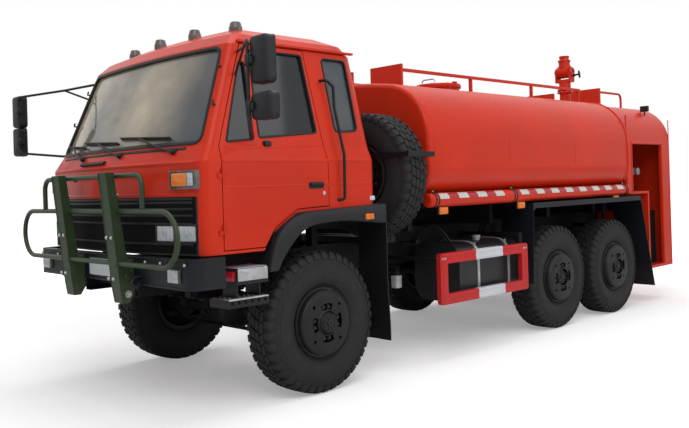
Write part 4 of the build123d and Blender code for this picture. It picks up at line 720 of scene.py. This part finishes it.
def front_details():
    """Lamp lenses, grille slats, bumper and bull bar fittings, with a near-black sheet of painted shade
    behind the grille.
    """
    # A near-black sheet behind the grille slats: painted shade.
    bm = bmesh.new()
    strip(bm, cab_front, (-1.105, 1.385), (1.105, 1.385), 0.400, 0.0015, 24)
    piece("grille_painted_shade", bm, ("dark",))

    bm = bmesh.new()
    for z, out in ((1.452, 0.006), (1.498, 0.006), (1.543, 0.006), (1.395, 0.009), (1.250, 0.009),
                   (1.570, 0.004)):
        strip(bm, cab_front, (-1.080, z), (1.080, z), 0.018, out, 24)
    for side in BOTH:
        for x in HEADLAMPS:
            laid(bm, cab_front, rect(side * x - 0.094, 1.262, side * x + 0.094, 1.388, 0.012),
                 ((0.008, -0.001), (0.008, 0.005), (0.002, 0.009), (-0.006, 0.004), (-0.006, -0.004)),
                 ring=True)
        laid(bm, cab_front, rect(side * 0.905, 1.652, side * 1.128, 1.757, 0.012),
             ((0.006, 0.018), (0.006, 0.026), (0.0, 0.030), (-0.005, 0.028), (-0.006, 0.020)), ring=True)
    piece("grille_slats", bm, ("plastic",))

    bm = bmesh.new()
    for side in BOTH:
        for x in HEADLAMPS:
            x *= side
            laid(bm, cab_front, rect(x - 0.086, 1.272, x + 0.086, 1.378, 0.012),
                 ((0, -0.004), (0, 0.002), (-0.006, 0.006), (-0.024, 0.009)))
            for k in range(-2, 3):
                u = x + 0.028 * k
                strip(bm, cab_front, (u, 1.285), (u, 1.365), 0.006, 0.0105, index=1)
            turned(bm, ((0, 0.030), (0.003, 0.030), (0.005, 0.022)),
                   aim(cab_front(x, 1.325, 0.006), (0, -1, 0)), 20, 2)
        for inner, outer, index in ((0.912, 1.058, 3), (1.062, 1.120, 0)):
            laid(bm, cab_front, rect(side * inner, 1.659, side * outer, 1.750, 0.008),
                 ((0, 0.020), (0, 0.028), (-0.006, 0.033), (-0.020, 0.035)), index)
        laid(bm, end_wall(-1.2685, -1), rect(side * 0.958, 0.998, side * 1.082, 1.082),
             ((0, -0.001), (0, 0.006), (-0.006, 0.010), (-0.022, 0.012)))
        laid(bm, end_wall(-0.880, -1), rect(side * 1.105, 0.975, side * 1.205, 1.045),
             raised(0.014, 0.006, 0.019), 4)
        laid(bm, side_wall(side * 1.235), rect(0.410, 1.345, 0.500, 1.392), raised(0.012, 0.006, 0.018), 3)
    piece("front_lenses", bm, ("clear", "steel", "bright", "orange", "ruby"))

    bm = bmesh.new()
    for side in BOTH:
        x = side * 0.395
        for step in (-0.035, 0.035):
            for y, z in ((-1.352, 1.610), (-1.410, 1.300), (-1.402, 1.000)):
                bolt(bm, spot(x + step, y, z), (0, -1, 0.05), 0.011, 1)
        for edge in (-0.060, 0.060):
            line = (-1.450, 1.770), (-1.362, 0.920), (-1.344, 0.818)
            bar(bm, [spot(x + edge, y, z) for y, z in line], 0.006)
        bolt(bm, spot(side * 0.455, -1.300, 0.880), (side, 0, 0), 0.020, 1)
        turned(bm, ((0, 0.030), (0.010, 0.030), (0.012, 0.026)),
               aim(spot(side * 0.455, -1.300, 1.010), (side, 0, 0)), 18)
        for z in (1.490, 1.110):
            block(bm, spot(x - 0.045, -1.388, z - 0.026), spot(x + 0.045, -1.335, z + 0.026))
    piece("bull_bar_fittings", bm, ("green", "steel"))

    bm = bmesh.new()
    bumper = end_wall(BUMPER_Y, -1)
    hook = (-1.240, 1.010), (-1.305, 1.005), (-1.330, 0.975), (-1.305, 0.945), (-1.262, 0.962)
    for side in BOTH:
        for x in (0.62, 0.83, 1.14):
            bolt(bm, spot(side * x, BUMPER_Y, 1.120), (0, -1, 0), 0.010, 1)
        bar(bm, [spot(side * 0.56, y, z) for y, z in hook], 0.015, 12)
    laid(bm, bumper, rect(-0.255, 0.975, 0.255, 1.125, 0.012), raised(0.006, 0.003, 0.008))
    laid(bm, end_wall(BUMPER_Y - 0.008, -1), rect(-0.235, 0.985, 0.235, 1.115),
         raised(0.001, 0.001, 0.002), 2)
    for z in (0.958, 1.148):
        strip(bm, bumper, (-1.11, z), (1.11, z), 0.014, 0.004)
    piece("bumper_fittings", bm, ("black", "steel", "white"))


def arch_line(corners, radius, count=44):
    """Points spaced evenly along an open line whose bends are eased."""
    line = [Vector(corners[0])]
    for before, here, after in zip(corners, corners[1:], corners[2:]):
        line += bend(before, here, after, radius, 0.48, 8)
    line.append(Vector(corners[-1]))
    lengths = [0.0]
    for here, there in zip(line, line[1:]):
        lengths.append(lengths[-1] + (there - here).length)
    spaced = []
    for k in range(count + 1):
        goal = lengths[-1] * k / count
        i = max(j for j in range(len(lengths) - 1) if lengths[j] <= goal + 1e-9)
        share = (goal - lengths[i]) / max(lengths[i + 1] - lengths[i], 1e-9)
        spaced.append(line[i].lerp(line[i + 1], share))
    return spaced


def fender_details():
    """Front fenders with eased bends and rolled lips, and the rubber flaps behind them."""
    rear = 0.653
    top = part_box("front_fenders")[1][2]
    arch = [(-0.590, 1.018), (-0.5045, 1.3055), (-0.2825, 1.4355), (rear, top)]
    under = [(-0.500, 1.018), (-0.413, 1.154), (-0.215, 1.330), (0.178, 1.352), (rear, 1.300)]
    sheet = (0.900, 0), (1.200, 0), (1.200, 0.012), (0.900, 0.012)
    bm = bmesh.new()
    for side in BOTH:
        lip = []
        for high, low in zip(arch_line(arch, 0.16), arch_line(under, 0.15)):
            way = (high - low).normalized()
            section = ((1.196, high), (1.214, high), (1.228, high - way * 0.006), (1.235, high - way * 0.020),
                       (1.235, low + way * 0.020), (1.228, low + way * 0.006), (1.214, low), (1.196, low))
            lip.append([spot(side * x, p.x, p.y) for x, p in section])
        loft(bm, lip)
        loft(bm, [[spot(side * x, y, z - step) for x, step in sheet] for y, z in arch])
    fenders = piece("front_fenders_dressed", bm, ("plastic",))
    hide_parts("front_fenders")

    bm = bmesh.new()
    section = ((0.900, 0.0), (0.960, -0.004), (1.070, 0.003), (1.180, -0.003), (1.232, 0.0),
               (1.232, 0.009), (1.180, 0.006), (1.070, 0.012), (0.960, 0.005), (0.900, 0.009))
    for side in BOTH:
        rows = []
        for k in range(17):
            t = k / 16
            sway = 0.008 * math.sin(k * 0.55) * t + 0.010 * t ** 2
            rows.append([spot(side * x, rear + y + sway, top - (top - 0.320) * t) for x, y in section])
        loft(bm, rows)
        for x in (0.94, 1.07, 1.19):
            bolt(bm, spot(side * x, rear + 0.010, 1.255), (0, 1, 0), 0.009, 1)
    piece("front_flaps", bm, ("trim", "steel"))


def step_details():
    """Light tread plates on the cab steps, with raised dimples and a rolled edge; the near-black dimples are
    painted shade for the perforations.
    """
    bm = bmesh.new()
    for side in BOTH:
        laid(bm, side_wall(side * 1.225), rect(-0.872, 0.976, -0.608, 1.062, 0.006),
             raised(0.003, 0.003, 0.005))
        laid(bm, deck(1.066), rect(side * 1.010, -0.872, side * 1.222, -0.608, 0.006),
             raised(0.002, 0.002, 0.004))
        laid(bm, deck(0.852), rect(side * 1.006, -0.952, side * 1.222, -0.606, 0.006),
             raised(0.002, 0.002, 0.004))
        # Near-black dimples: painted shade for the step's perforations.
        for row in range(3):
            for k in range(8):
                turned(bm, ((0, 0.014), (0.005, 0.011), (0.0055, 0.008), (0.002, 0.006)),
                       aim(spot(side * (1.05 + 0.062 * row), -0.930 + 0.042 * k, 0.8545), UP), 10, 1)
        for k in range(6):
            turned(bm, ((0, 0.013), (0.003, 0.011), (0.0032, 0.009)),
                   aim(spot(side * 1.225, -0.925 + 0.058 * k, 0.828), (side, 0, 0)), 10, 1)
        bar(bm, [spot(side * 1.222, -0.955, 0.850), spot(side * 1.222, -0.605, 0.850)], 0.006)
    piece("step_plates", bm, ("bright", "dark"))


# Tank, side pipes, guards and fuel tank

def tank_roof(x, y, out):
    """The tank's arched top: distance across, distance behind the front axle."""
    radius = (1.2 ** 2 + 0.152 ** 2) / 0.304
    return spot(x, y, TANK_TOP - radius + math.sqrt(radius ** 2 - x ** 2) + out)


def tank_details():
    """Weld seams, walkway plates and lid fittings."""
    bm = bmesh.new()
    for y, wide, tall in ((1.360, 0.009, 0.0022), (2.540, 0.009, 0.0022), (3.800, 0.009, 0.0022),
                          (5.030, 0.016, 0.012)):
        across = Vector((0, wide, 0))
        loops = []
        for k in range(49):
            a = math.radians(-32 + 244 * k / 48)
            way = Vector((math.cos(a), 0, math.sin(a)))
            where, normal = NODES["tank"].ray_cast(spot(0, y, 2.05) + way * 3, -way)[1:3]
            loops.append([where - across - normal * 0.002, where - across * 0.8 + normal * tall,
                          where + across * 0.8 + normal * tall, where + across - normal * 0.002])
        loft(bm, loops)
    piece("tank_seams", bm, ("red",))

    bm = bmesh.new()
    for start, end in ((1.720, 2.560), (3.230, 4.960)):
        edge = (start, -0.002), (start, 0.004), (end, 0.004), (end, -0.002)
        loft(bm, [[tank_roof(-0.48 + 0.08 * k, y, out) for y, out in edge] for k in range(13)])
        for row in range(int((end - start) / 0.075)):
            y = start + 0.05 + 0.075 * row
            for k in range(12):
                x = -0.44 + 0.08 * k
                lean = 0.016 if (row + k) % 2 else -0.016
                strip(bm, tank_roof, (x - lean, y - 0.018), (x + lean, y + 0.018), 0.010, 0.0075)
    piece("walkway_plates", bm, ("red",))

    bm = bmesh.new()
    at = aim(spot(0, LID_Y, LID_TOP), UP)
    grip = (-0.09, 2.733), (-0.09, 2.775), (-0.07, 2.790), (0.07, 2.790), (0.09, 2.775), (0.09, 2.733)
    for side in BOTH:
        block(bm, spot(side * 0.229, LID_Y - 0.030, 2.735), spot(side * 0.261, LID_Y + 0.030, 2.752))
    bar(bm, [spot(x, LID_Y - 0.16, z) for x, z in grip], 0.008, 10, 1)
    hoop(bm, ((0.000, 0.185), (0.005, 0.187), (0.005, 0.197), (0.000, 0.199)), at)
    bolts(bm, at, UP, 8, 0.228, 0, 0.010, start=0.5)
    piece("lid_fittings", bm, ("red", "steel"), "manhole_lid")


def pipe_details():
    """Reflective tape and clamps on the hose pipes, and the marker lamps below them."""
    tape = bmesh.new()
    clamps = bmesh.new()
    lenses = bmesh.new()
    arc = [math.radians(8 + 9 * k) for k in range(7)]
    section = [(a, HOSE_R + 0.0012) for a in arc] + [(a, HOSE_R - 0.001) for a in reversed(arc)]
    for side in BOTH:
        start = 1.385
        number = 0
        while start < 4.90:
            end = min(start + 0.145, 4.935)
            if not (2.50 < end < 2.68):
                loft(tape, [[spot(side * (HOSE_X + r * math.cos(a)), y, HOSE_Z + r * math.sin(a))
                             for a, r in section] for y in (start, end)], number % 2)
                number += 1
            start = end
        x = side * HOSE_X
        for y in (1.365, 2.600, 4.955):
            for step in (-0.020, 0.020):
                hoop(clamps, ((-0.007, 0.0655), (-0.007, 0.070), (-0.005, 0.0715), (0.005, 0.0715),
                              (0.007, 0.070), (0.007, 0.0655)), aim(spot(x, y + step, HOSE_Z), (0, 1, 0)), 36)
            block(clamps, spot(x - 0.014, y - 0.030, 1.530), spot(x + 0.014, y + 0.030, 1.546), 0.003)
            bolt(clamps, spot(x, y, 1.545), UP, 0.008, 1)
        for y in (1.470, 2.718, 4.720):
            block(clamps, spot(side * 1.160, y - 0.066, 1.332), spot(side * 1.184, y + 0.066, 1.412))
            laid(lenses, side_wall(side * 1.184), rect(y - 0.058, 1.338, y + 0.058, 1.402, 0.008),
                 ((0, -0.001), (0, 0.010), (-0.005, 0.016), (-0.016, 0.018)))
    piece("pipe_tape", tape, ("tape_white", "tape_red"))
    piece("pipe_clamps", clamps, ("trim", "steel"))
    piece("side_markers", lenses, ("orange",))


def guard_details():
    """White bands round the guard's bars, rolled edges and bolts."""
    bm = bmesh.new()
    x0, x1 = GUARD_X - GUARD_HALF, GUARD_X + GUARD_HALF
    skin = 0.0015
    for side in BOTH:
        plain = side_wall(side * x1)
        banded = side_wall(side * (x1 + skin))
        for low, high, y0, y1 in ((0.890, 0.985, 1.885, 2.315), (0.520, 0.615, 1.915, 2.340)):
            section = ((x0 - skin, low + 0.002), (x0 - skin, high - 0.002), (x0, high + skin),
                       (x1 - 0.002, high + skin), (x1 + skin, high - 0.002), (x1 + skin, low + 0.002),
                       (x1 - 0.002, low - skin), (x0, low - skin))
            loft(bm, [[spot(side * x, y, z) for x, z in section] for y in (y0, y1)], 1)
            for z in (low + 0.018, high - 0.018):
                strip(bm, plain, (1.385, z), (y0, z), 0.016, 0.004)
                strip(bm, banded, (y0, z), (y1, z), 0.016, 0.004, index=1)
                strip(bm, plain, (y1, z), (2.720, z), 0.016, 0.004)
        for y in (1.392, 2.713):
            strip(bm, plain, (y, 0.545), (y, 0.960), 0.016, 0.004)
        for y in (1.405, 2.700):
            for step in (-0.018, 0.018):
                bolt(bm, plain(y + step, 0.937, 0), (side, 0, 0), 0.009, 2)
    piece("guard_bands", bm, ("guard", "white", "steel"))


def fuel_details():
    """Straps, filler cap, pipes and a small filter by the fuel tank."""
    bm = bmesh.new()
    outline = rounded([(0.54, 0.48), (1.10, 0.48), (1.10, 1.04), (0.54, 1.04)], 0.165, 8)
    for y in (2.085, 2.590):
        loops = []
        for step, out in ((-0.018, 0.0), (-0.018, 0.006), (0.018, 0.006), (0.018, 0.0)):
            loops.append([spot(p.x, y + step, p.y) for p in grown(outline, out)])
        loft(bm, loops, ring=True)
        bolt(bm, spot(1.060, y, 1.020), (0.6, 0, 0.8), 0.010)
    turned(bm, ((-0.01, 0.040), (0.022, 0.040), (0.024, 0.046), (0.042, 0.046), (0.046, 0.040),
                (0.047, 0.012)), aim(spot(0.900, 2.330, 1.040), UP), 24)
    piece("fuel_straps", bm, ("bright",))

    bm = bmesh.new()
    shares = [k / 14 for k in range(15)]
    for y, reach in ((1.900, -0.16), (2.710, 0.11)):
        for x in (0.92, 0.87):
            bar(bm, [spot(x - 0.30 * t, y + reach * t, 1.030 + 0.62 * t * (1 - t) + 0.04 * t)
                     for t in shares], 0.011)
        end = y + reach
        block(bm, spot(0.855, y - 0.02, 1.028), spot(0.935, y + 0.02, 1.048))
        block(bm, spot(0.560, end - 0.03, 1.030), spot(0.640, end + 0.03, 1.075), 0.005)
        block(bm, spot(RAIL_X, end - 0.02, 1.040), spot(0.570, end + 0.02, 1.052), 0.003)
    piece("fuel_pipes", bm, ("trim",))

    bm = bmesh.new()
    at = aim(spot(0.800, 1.235, 0.665), UP)
    turned(bm, ((0, 0.030), (0.006, 0.046), (0.100, 0.048), (0.104, 0.050), (0.114, 0.050), (0.118, 0.030)),
           at, 24)
    turned(bm, ((0.117, 0.032), (0.150, 0.032), (0.156, 0.020), (0.158, 0.008)), at, 20, 1)
    block(bm, spot(RAIL_X, 1.215, 0.850), spot(0.830, 1.255, 0.862), 0.003, 1)
    block(bm, spot(0.785, 1.220, 0.815), spot(0.815, 1.250, 0.856), 0.003, 1)
    piece("filter", bm, ("bright", "chassis"))


# Pump cabin, rear wall and monitor

def cabin_details():
    """Trim of the pump bay and the rear wall, a near-black panel of painted shade in the bay, the rear wall's
    lamps and the work lamps above it.
    """
    wall = end_wall(REAR_Y, 1)
    bm = bmesh.new()
    for side in BOTH:
        for start, end, width, height in (
            ((5.094, 1.42), (5.094, 2.38), 0.026, 0.012),
            ((5.235, 2.045), (6.075, 2.045), 0.030, 0.008),
            ((6.078, 0.470), (6.078, 2.040), 0.030, 0.008),
            ((5.232, 1.430), (5.232, 2.040), 0.024, 0.008),
            ((6.288, 0.460), (6.288, 2.360), 0.020, 0.005),
        ):
            strip(bm, side_wall(side * BAY_X), start, end, width, height)
        laid(bm, wall, rect(side * 0.26, 1.300, side * 0.62, 2.200, 0.03), raised(0.012, 0.006, 0.016))
        for z in (1.45, 2.05):
            turned(bm, ((-0.045, 0.010), (0.045, 0.010)), aim(wall(side * 0.632, z, 0.012), UP), 10)
        # A near-black panel inside the pump bay: painted shade.
        block(bm, spot(side * 1.020, 5.690, 0.485), spot(side * 1.040, 6.058, 1.170), index=1)
    laid(bm, wall, rect(-1.10, 0.462, 1.10, 0.520, 0.012), raised(0.010, 0.006, 0.014))
    piece("cabin_trim", bm, ("red", "dark"))

    bm = bmesh.new()
    for side in BOTH:
        x = side * 0.30
        for step in (-0.060, 0.060):
            bar(bm, [wall(x, 1.750 + step, 0.014), wall(x, 1.750 + step * 0.8, 0.050)], 0.007)
        bar(bm, [wall(x, 1.690, 0.050), wall(x, 1.810, 0.050)], 0.009)
        for z0, z1, index in ((1.010, 1.090, 3), (1.096, 1.196, 4), (1.202, 1.290, 3)):
            laid(bm, end_wall(REAR_Y + 0.0323, 1), rect(side * 0.935, z0, side * 1.025, z1, 0.006),
                 raised(0.005, 0.004, 0.009), index)
        laid(bm, wall, rect(side * 0.86, 0.60, side * 1.02, 0.66), raised(0.006, 0.003, 0.008), 3)
    for k in range(14):
        u = -1.085 + 0.155 * k
        laid(bm, end_wall(REAR_Y + 0.014, 1), rect(u, 0.472, u + 0.150, 0.510, 0.002),
             ((0, -0.001), (0, 0.0015)), 5 + k % 2)
    laid(bm, wall, rect(-0.62, 0.800, -0.24, 0.910), raised(0.006, 0.003, 0.008), 1)
    laid(bm, end_wall(REAR_Y + 0.008, 1), rect(-0.605, 0.812, -0.255, 0.898, 0.006),
         raised(0.001, 0.001, 0.002), 2)
    piece("rear_fittings", bm, ("trim", "black", "white", "ruby", "orange", "tape_white", "tape_red"))

    bm = bmesh.new()
    y = 5.980
    for side in BOTH:
        x = side * 0.98
        z = top_of("pump_cabin", x, y)
        bar(bm, [spot(x, y, z - 0.004), spot(x, y, z + 0.050)], 0.010)
        block(bm, spot(x - 0.055, y - 0.022, z + 0.045), spot(x + 0.055, y + 0.020, z + 0.120), 0.006)
        laid(bm, end_wall(y + 0.020, 1), rect(x - 0.045, z + 0.054, x + 0.045, z + 0.111, 0.008),
             raised(0.006, 0.006, 0.010), 1)
    piece("work_lamps", bm, ("trim", "clear"))


def pump_details():
    """Pipe flanges, hose valves with handwheels and the gauge panel on both sides of the pump."""
    bm = bmesh.new()
    for side in BOTH:
        way = Vector((side, 0, 0))
        for reach in (0.655, 0.690):
            at = aim(spot(side * reach, PUMP_Y, PUMP_Z), way)
            turned(bm, ((0, 0.098), (0.016, 0.098), (0.018, 0.095)), at, 28)
            bolts(bm, at, way, 8, 0.086, 0.018, 0.008)
        for dy, dz in ((-0.23, 0.33), (0.0, 0.33), (-0.23, 0.52)):
            root = spot(side * 0.70, PUMP_Y + dy, PUMP_Z + dz)
            bar(bm, [root - way * 0.30, root + way * 0.17], 0.036, 18)
            turned(bm, ((0, 0.046), (0.014, 0.046), (0.016, 0.042), (0.050, 0.042), (0.054, 0.047),
                        (0.066, 0.047), (0.070, 0.038)), aim(root + way * 0.16, way), 24, 3)
            stem = root + Vector((side * 0.03, 0, 0.034))
            wheel = aim(stem + UP * 0.055, UP)
            bar(bm, [stem, stem + UP * 0.055], 0.008, 8, 1)
            hoop(bm, ((-0.006, 0.036), (0.0, 0.042), (0.006, 0.036), (0.0, 0.031)), wheel, 28, 2)
            for a in angles(4):
                bar(bm, [stem + UP * 0.053, orbit(wheel, a, 0.034)], 0.004, 6, 2)
        block(bm, spot(side * 0.40, 5.60, 1.60), spot(side * 0.415, 6.10, 1.98), 0.003, 4)
        for k in range(3):
            at = aim(spot(side * 0.415, 5.70 + 0.15 * k, 1.915), way)
            turned(bm, ((0, 0.044), (0.012, 0.044), (0.014, 0.040), (0.010, 0.036)), at, 28, 1)
            turned(bm, ((0.009, 0.036), (0.011, 0.036)), at, 24, 5)
            bar(bm, [at @ Vector((0, 0, 0.0125)), at @ Vector((0.018, 0.012, 0.0125))], 0.0018, 6, 4)
    piece("pump_fittings", bm, ("red", "steel", "trim", "bright", "black", "white"))


def monitor_details():
    """Flanges, bolts, handwheel and mouth of the water monitor; the mouth holds a near-black disc of painted
    shade.
    """
    axis = aim(spot(0, MONITOR_Y, 0), UP)
    base = top_of("monitor_base", 0, MONITOR_Y)
    foot = top_of("pump_cabin", 0, MONITOR_Y)
    bm = bmesh.new()
    hoop(bm, ((base - 0.030, 0.074), (base - 0.030, 0.104), (base - 0.026, 0.107), (base - 0.012, 0.107),
              (base - 0.008, 0.104), (base - 0.008, 0.074)), axis, 36)
    hoop(bm, ((foot - 0.004, 0.074), (foot - 0.004, 0.120), (foot + 0.016, 0.120), (foot + 0.020, 0.116),
              (foot + 0.020, 0.074)), axis, 36)
    bolts(bm, axis, UP, 8, 0.099, foot + 0.020, 0.009)
    bolts(bm, axis, UP, 8, 0.092, base - 0.008, 0.0065)
    piece("monitor_flanges", bm, ("red", "steel"))

    bm = bmesh.new()
    hoop(bm, ((2.834, 0.077), (2.834, 0.100), (2.838, 0.104), (2.852, 0.104), (2.856, 0.100), (2.856, 0.077)),
         axis, 36)
    for side in BOTH:
        at = aim(spot(side * 0.116, MONITOR_Y, TRUNNION_Z), (side, 0, 0))
        hoop(bm, ((-0.001, 0.030), (-0.001, 0.056), (0.008, 0.056), (0.012, 0.050), (0.012, 0.030)), at, 32)
        bolts(bm, at, (side, 0, 0), 6, 0.043, 0.011, 0.0065)
    at = aim(spot(0.116, MONITOR_Y + 0.02, 3.040), (0.95, 0.30, 0.10))
    turned(bm, ((-0.01, 0.020), (0.030, 0.020), (0.034, 0.012), (0.085, 0.012)), at, 16, 2)
    hoop(bm, ((0.080, 0.050), (0.086, 0.056), (0.092, 0.050), (0.086, 0.044)), at, 32, 2)
    for a in angles(4):
        bar(bm, [at @ Vector((0, 0, 0.086)), orbit(at, a, 0.048, 0.086)], 0.005, 6, 2)
    piece("monitor_gear", bm, ("red", "steel", "trim"), "monitor_turret")

    bm = bmesh.new()
    hoop(bm, ((3.236, 0.0755), (3.236, 0.0835), (3.240, 0.0860), (3.252, 0.0860), (3.256, 0.0835),
              (3.256, 0.0640)), axis, 36)
    hoop(bm, ((3.150, 0.0755), (3.150, 0.0800), (3.153, 0.0820), (3.162, 0.0820), (3.165, 0.0800),
              (3.165, 0.0755)), axis, 36)
    hoop(bm, ((3.300, 0.0635), (3.300, 0.0680), (3.303, 0.0700), (3.311, 0.0700), (3.314, 0.0670),
              (3.314, 0.0560), (3.309, 0.0540)), axis, 36)
    # A near-black disc in the mouth: painted shade in the bore.
    turned(bm, ((3.3095, 0.0560), (3.3120, 0.0550), (3.3115, 0.0300)), axis, 32, 2)
    bolts(bm, axis, UP, 8, 0.0810, 3.2555, 0.0045)
    piece("monitor_rings", bm, ("red", "steel", "dark"), "monitor_barrel")


def chassis_details():
    """Rows of rivets, spring bolts and brake chambers under the body."""
    bm = bmesh.new()
    for side in BOTH:
        for k in range(26):
            for z in (0.875, 1.055):
                turned(bm, ((-0.001, 0.013), (0.005, 0.012), (0.009, 0.006)),
                       aim(spot(side * 0.430, -1.05 + 0.27 * k, z), (side, 0, 0)), 10)
    piece("rail_rivets", bm, ("chassis",))

    bm = bmesh.new()
    for side in BOTH:
        for y, low, way in ((AXLE_1, 0.470, -1), (AXLE_2, 0.455, 1), (AXLE_3, 0.455, 1)):
            for step in (-0.055, 0.055):
                for x in (side * 0.390 - 0.050, side * 0.390 + 0.050):
                    bar(bm, [(x, y + step, low), (x, y + step, 0.700)], 0.010)
            turned(bm, ((-0.090, 0.020), (-0.010, 0.024), (0.0, 0.070), (0.050, 0.078), (0.056, 0.084),
                        (0.066, 0.084), (0.072, 0.078), (0.120, 0.064), (0.130, 0.030)),
                   aim((side * 0.640, y + way * 0.090, 0.690), (0, way, 0.25)), 24)
    piece("axle_fittings", bm, ("chassis",))


# Seats: cloth over foam, blown up a little and capped

PUFF_FRAMES = 15
PUFF_LIMIT = 0.009


def cushion(name, size, place, lean):
    """A rounded pad, remeshed for the cloth solver, as an object at its place."""
    bm = bmesh.new()
    bmesh.ops.create_cube(bm, size=1)
    bmesh.ops.scale(bm, vec=size, verts=bm.verts)
    bmesh.ops.bevel(bm, geom=bm.edges[:], offset=min(size) * 0.32, segments=4, profile=0.6, affect="EDGES")
    mesh = meshed(name, bm)
    mesh.transform(Matrix.Translation(place) @ Matrix.Rotation(math.radians(lean), 4, "X"))
    pad = linked(name, mesh)
    remesh = pad.modifiers.new("remesh", "REMESH")
    remesh.mode = "VOXEL"
    remesh.voxel_size = 0.016
    bake(pad)
    return pad


def bake(pad):
    """Replaces a pad's mesh by what its modifiers make of it."""
    bpy.context.view_layer.update()
    seen = pad.evaluated_get(bpy.context.evaluated_depsgraph_get())
    mesh = bpy.data.meshes.new_from_object(seen)
    pad.modifiers.clear()
    pad.data = mesh


def puff(pads):
    """Blows the covers up by the cloth solver, and moves no point further than the limit."""
    rest = {pad.name: [v.co.copy() for v in pad.data.vertices] for pad in pads}
    for pad in pads:
        cloth = pad.modifiers.new("cloth", "CLOTH")
        cloth.settings.use_pressure = True
        cloth.settings.uniform_pressure_force = 4
        cloth.settings.effector_weights.gravity = 0
        cloth.settings.quality = 4
    for number in range(1, PUFF_FRAMES + 1):
        bpy.context.scene.frame_set(number)
    for pad in pads:
        seen = pad.evaluated_get(bpy.context.evaluated_depsgraph_get())
        moved = [v.co.copy() for v in seen.data.vertices]
        pad.modifiers.clear()
        for vertex, before, after in zip(pad.data.vertices, rest[pad.name], moved):
            step = after - before
            vertex.co = before + step * min(1, PUFF_LIMIT / max(step.length, 1e-6))
    bpy.context.scene.frame_set(1)


def seats():
    """Seat and back cushions and head rests of the two seats, on plain pedestals."""
    pads = []
    base = bmesh.new()
    line = (0.150, 1.760), (0.215, 1.840), (0.245, 1.960)
    for name, side in SIDES:
        x = side * 0.590
        pads += [cushion("seat_cushion_" + name, (0.480, 0.400, 0.115), spot(x, -0.062, 1.778), -2),
                 cushion("seat_back_" + name, (0.470, 0.110, 0.500), spot(x, 0.225, 2.110), -9.5),
                 cushion("head_rest_" + name, (0.260, 0.090, 0.100), spot(x, 0.290, 2.425), -9.5)]
        block(base, spot(x - 0.200, -0.250, 1.482), spot(x + 0.200, 0.190, 1.716), 0.012)
        for step in (-0.060, 0.060):
            bar(base, [spot(x + step, 0.262, 2.330), spot(x + step, 0.285, 2.410)], 0.007, 8, 1)
        for step in (-0.2401, 0.2401):
            bar(base, [spot(x + step, y, z) for y, z in line], 0.014, 8, 1)
    piece("seat_frames", base, ("plastic", "steel"))
    puff(pads)
    for pad in pads:
        pad.data.shade_smooth()
        pad.data.materials.clear()
        pad.data.materials.append(M["seat"])
        smoother = pad.modifiers.new("smoother", "SUBSURF")
        smoother.levels = 1
        bake(pad)
        pad.data.shade_smooth()
        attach(pad, "chassis")
    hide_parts("seats")


# Floor, light and camera

def stage():
    """The floor and the soft light."""
    bpy.ops.mesh.primitive_plane_add(size=120, location=(0, 0, 0))
    floor = bpy.context.object
    floor.name = "floor"
    material = bpy.data.materials.new("floor")
    material.use_nodes = True
    tree = material.node_tree
    place = node(tree, "TexCoord", {}, "Object")
    reach = node(tree, "VectorMath", {0: place}, "Value", operation="LENGTH")
    fade = node(tree, "MapRange", {"Value": reach, "From Min": 4.5, "From Max": 11.0, "To Min": 0.30,
                                   "To Max": 1.0}, "Result")
    seen = node(tree, "LightPath", {}, "Is Camera Ray")
    glow = node(tree, "Math", {0: seen, 1: fade}, "Value", operation="MULTIPLY")
    feed(tree, tree.nodes["Principled BSDF"], {
        "Base Color": (0.9, 0.9, 0.9, 1), "Roughness": 0.9, "Specular IOR Level": 0.1,
        "Emission Color": (1, 1, 1, 1), "Emission Strength": glow})
    floor.data.materials.append(material)

    world = bpy.data.worlds.new("world")
    bpy.context.scene.world = world
    world.use_nodes = True
    tree = world.node_tree
    rays = [node(tree, "LightPath", {}, f"Is {kind} Ray") for kind in ("Camera", "Transmission", "Glossy")]
    either = node(tree, "Math", {0: rays[0], 1: rays[1]}, "Value", operation="MAXIMUM")
    anyone = node(tree, "Math", {0: either, 1: rays[2]}, "Value", operation="MAXIMUM")
    level = node(tree, "MapRange", {"Value": anyone, "To Min": 0.30, "To Max": 1.0}, "Result")
    feed(tree, tree.nodes["Background"], {"Color": (1, 1, 1, 1), "Strength": level})

    for name, where, size, power in (
        ("key", (9, -9, 11), 9, 880),
        ("top", (0, 1, 13), 12, 950),
        ("side", (13, 3, 6), 8, 350),
    ):
        light = bpy.data.lights.new(name, "AREA")
        light.size = size
        light.energy = power
        lamp = linked(name, light)
        lamp.location = where
        lamp.rotation_euler = (UP - Vector(where)).to_track_quat("-Z", "Y").to_euler()


def camera():
    """The photograph's viewpoint: place, viewing direction and roll."""
    lens = bpy.data.cameras.new("camera")
    lens.lens = 41.48
    lens.sensor_width = 36
    lens.shift_y = -30 / 689
    eye = linked("camera", lens)
    ahead = Vector((-0.72039, 0.69356, 0.00102)).normalized()
    up = Vector((0.02259, 0.02199, 0.9995)).normalized()
    turn = Matrix((ahead.cross(up), up, -ahead)).transposed()
    eye.matrix_world = Matrix.Translation((5.77412, -6.67176, 1.63311)) @ turn.to_4x4()
    bpy.context.scene.camera = eye


wheels()
cab_details()
door_details()
mirror_details()
front_details()
fender_details()
step_details()
tank_details()
pipe_details()
guard_details()
fuel_details()
cabin_details()
pump_details()
monitor_details()
chassis_details()
seats()
stage()
camera()
bpy.context.scene.view_settings.view_transform = "Standard"
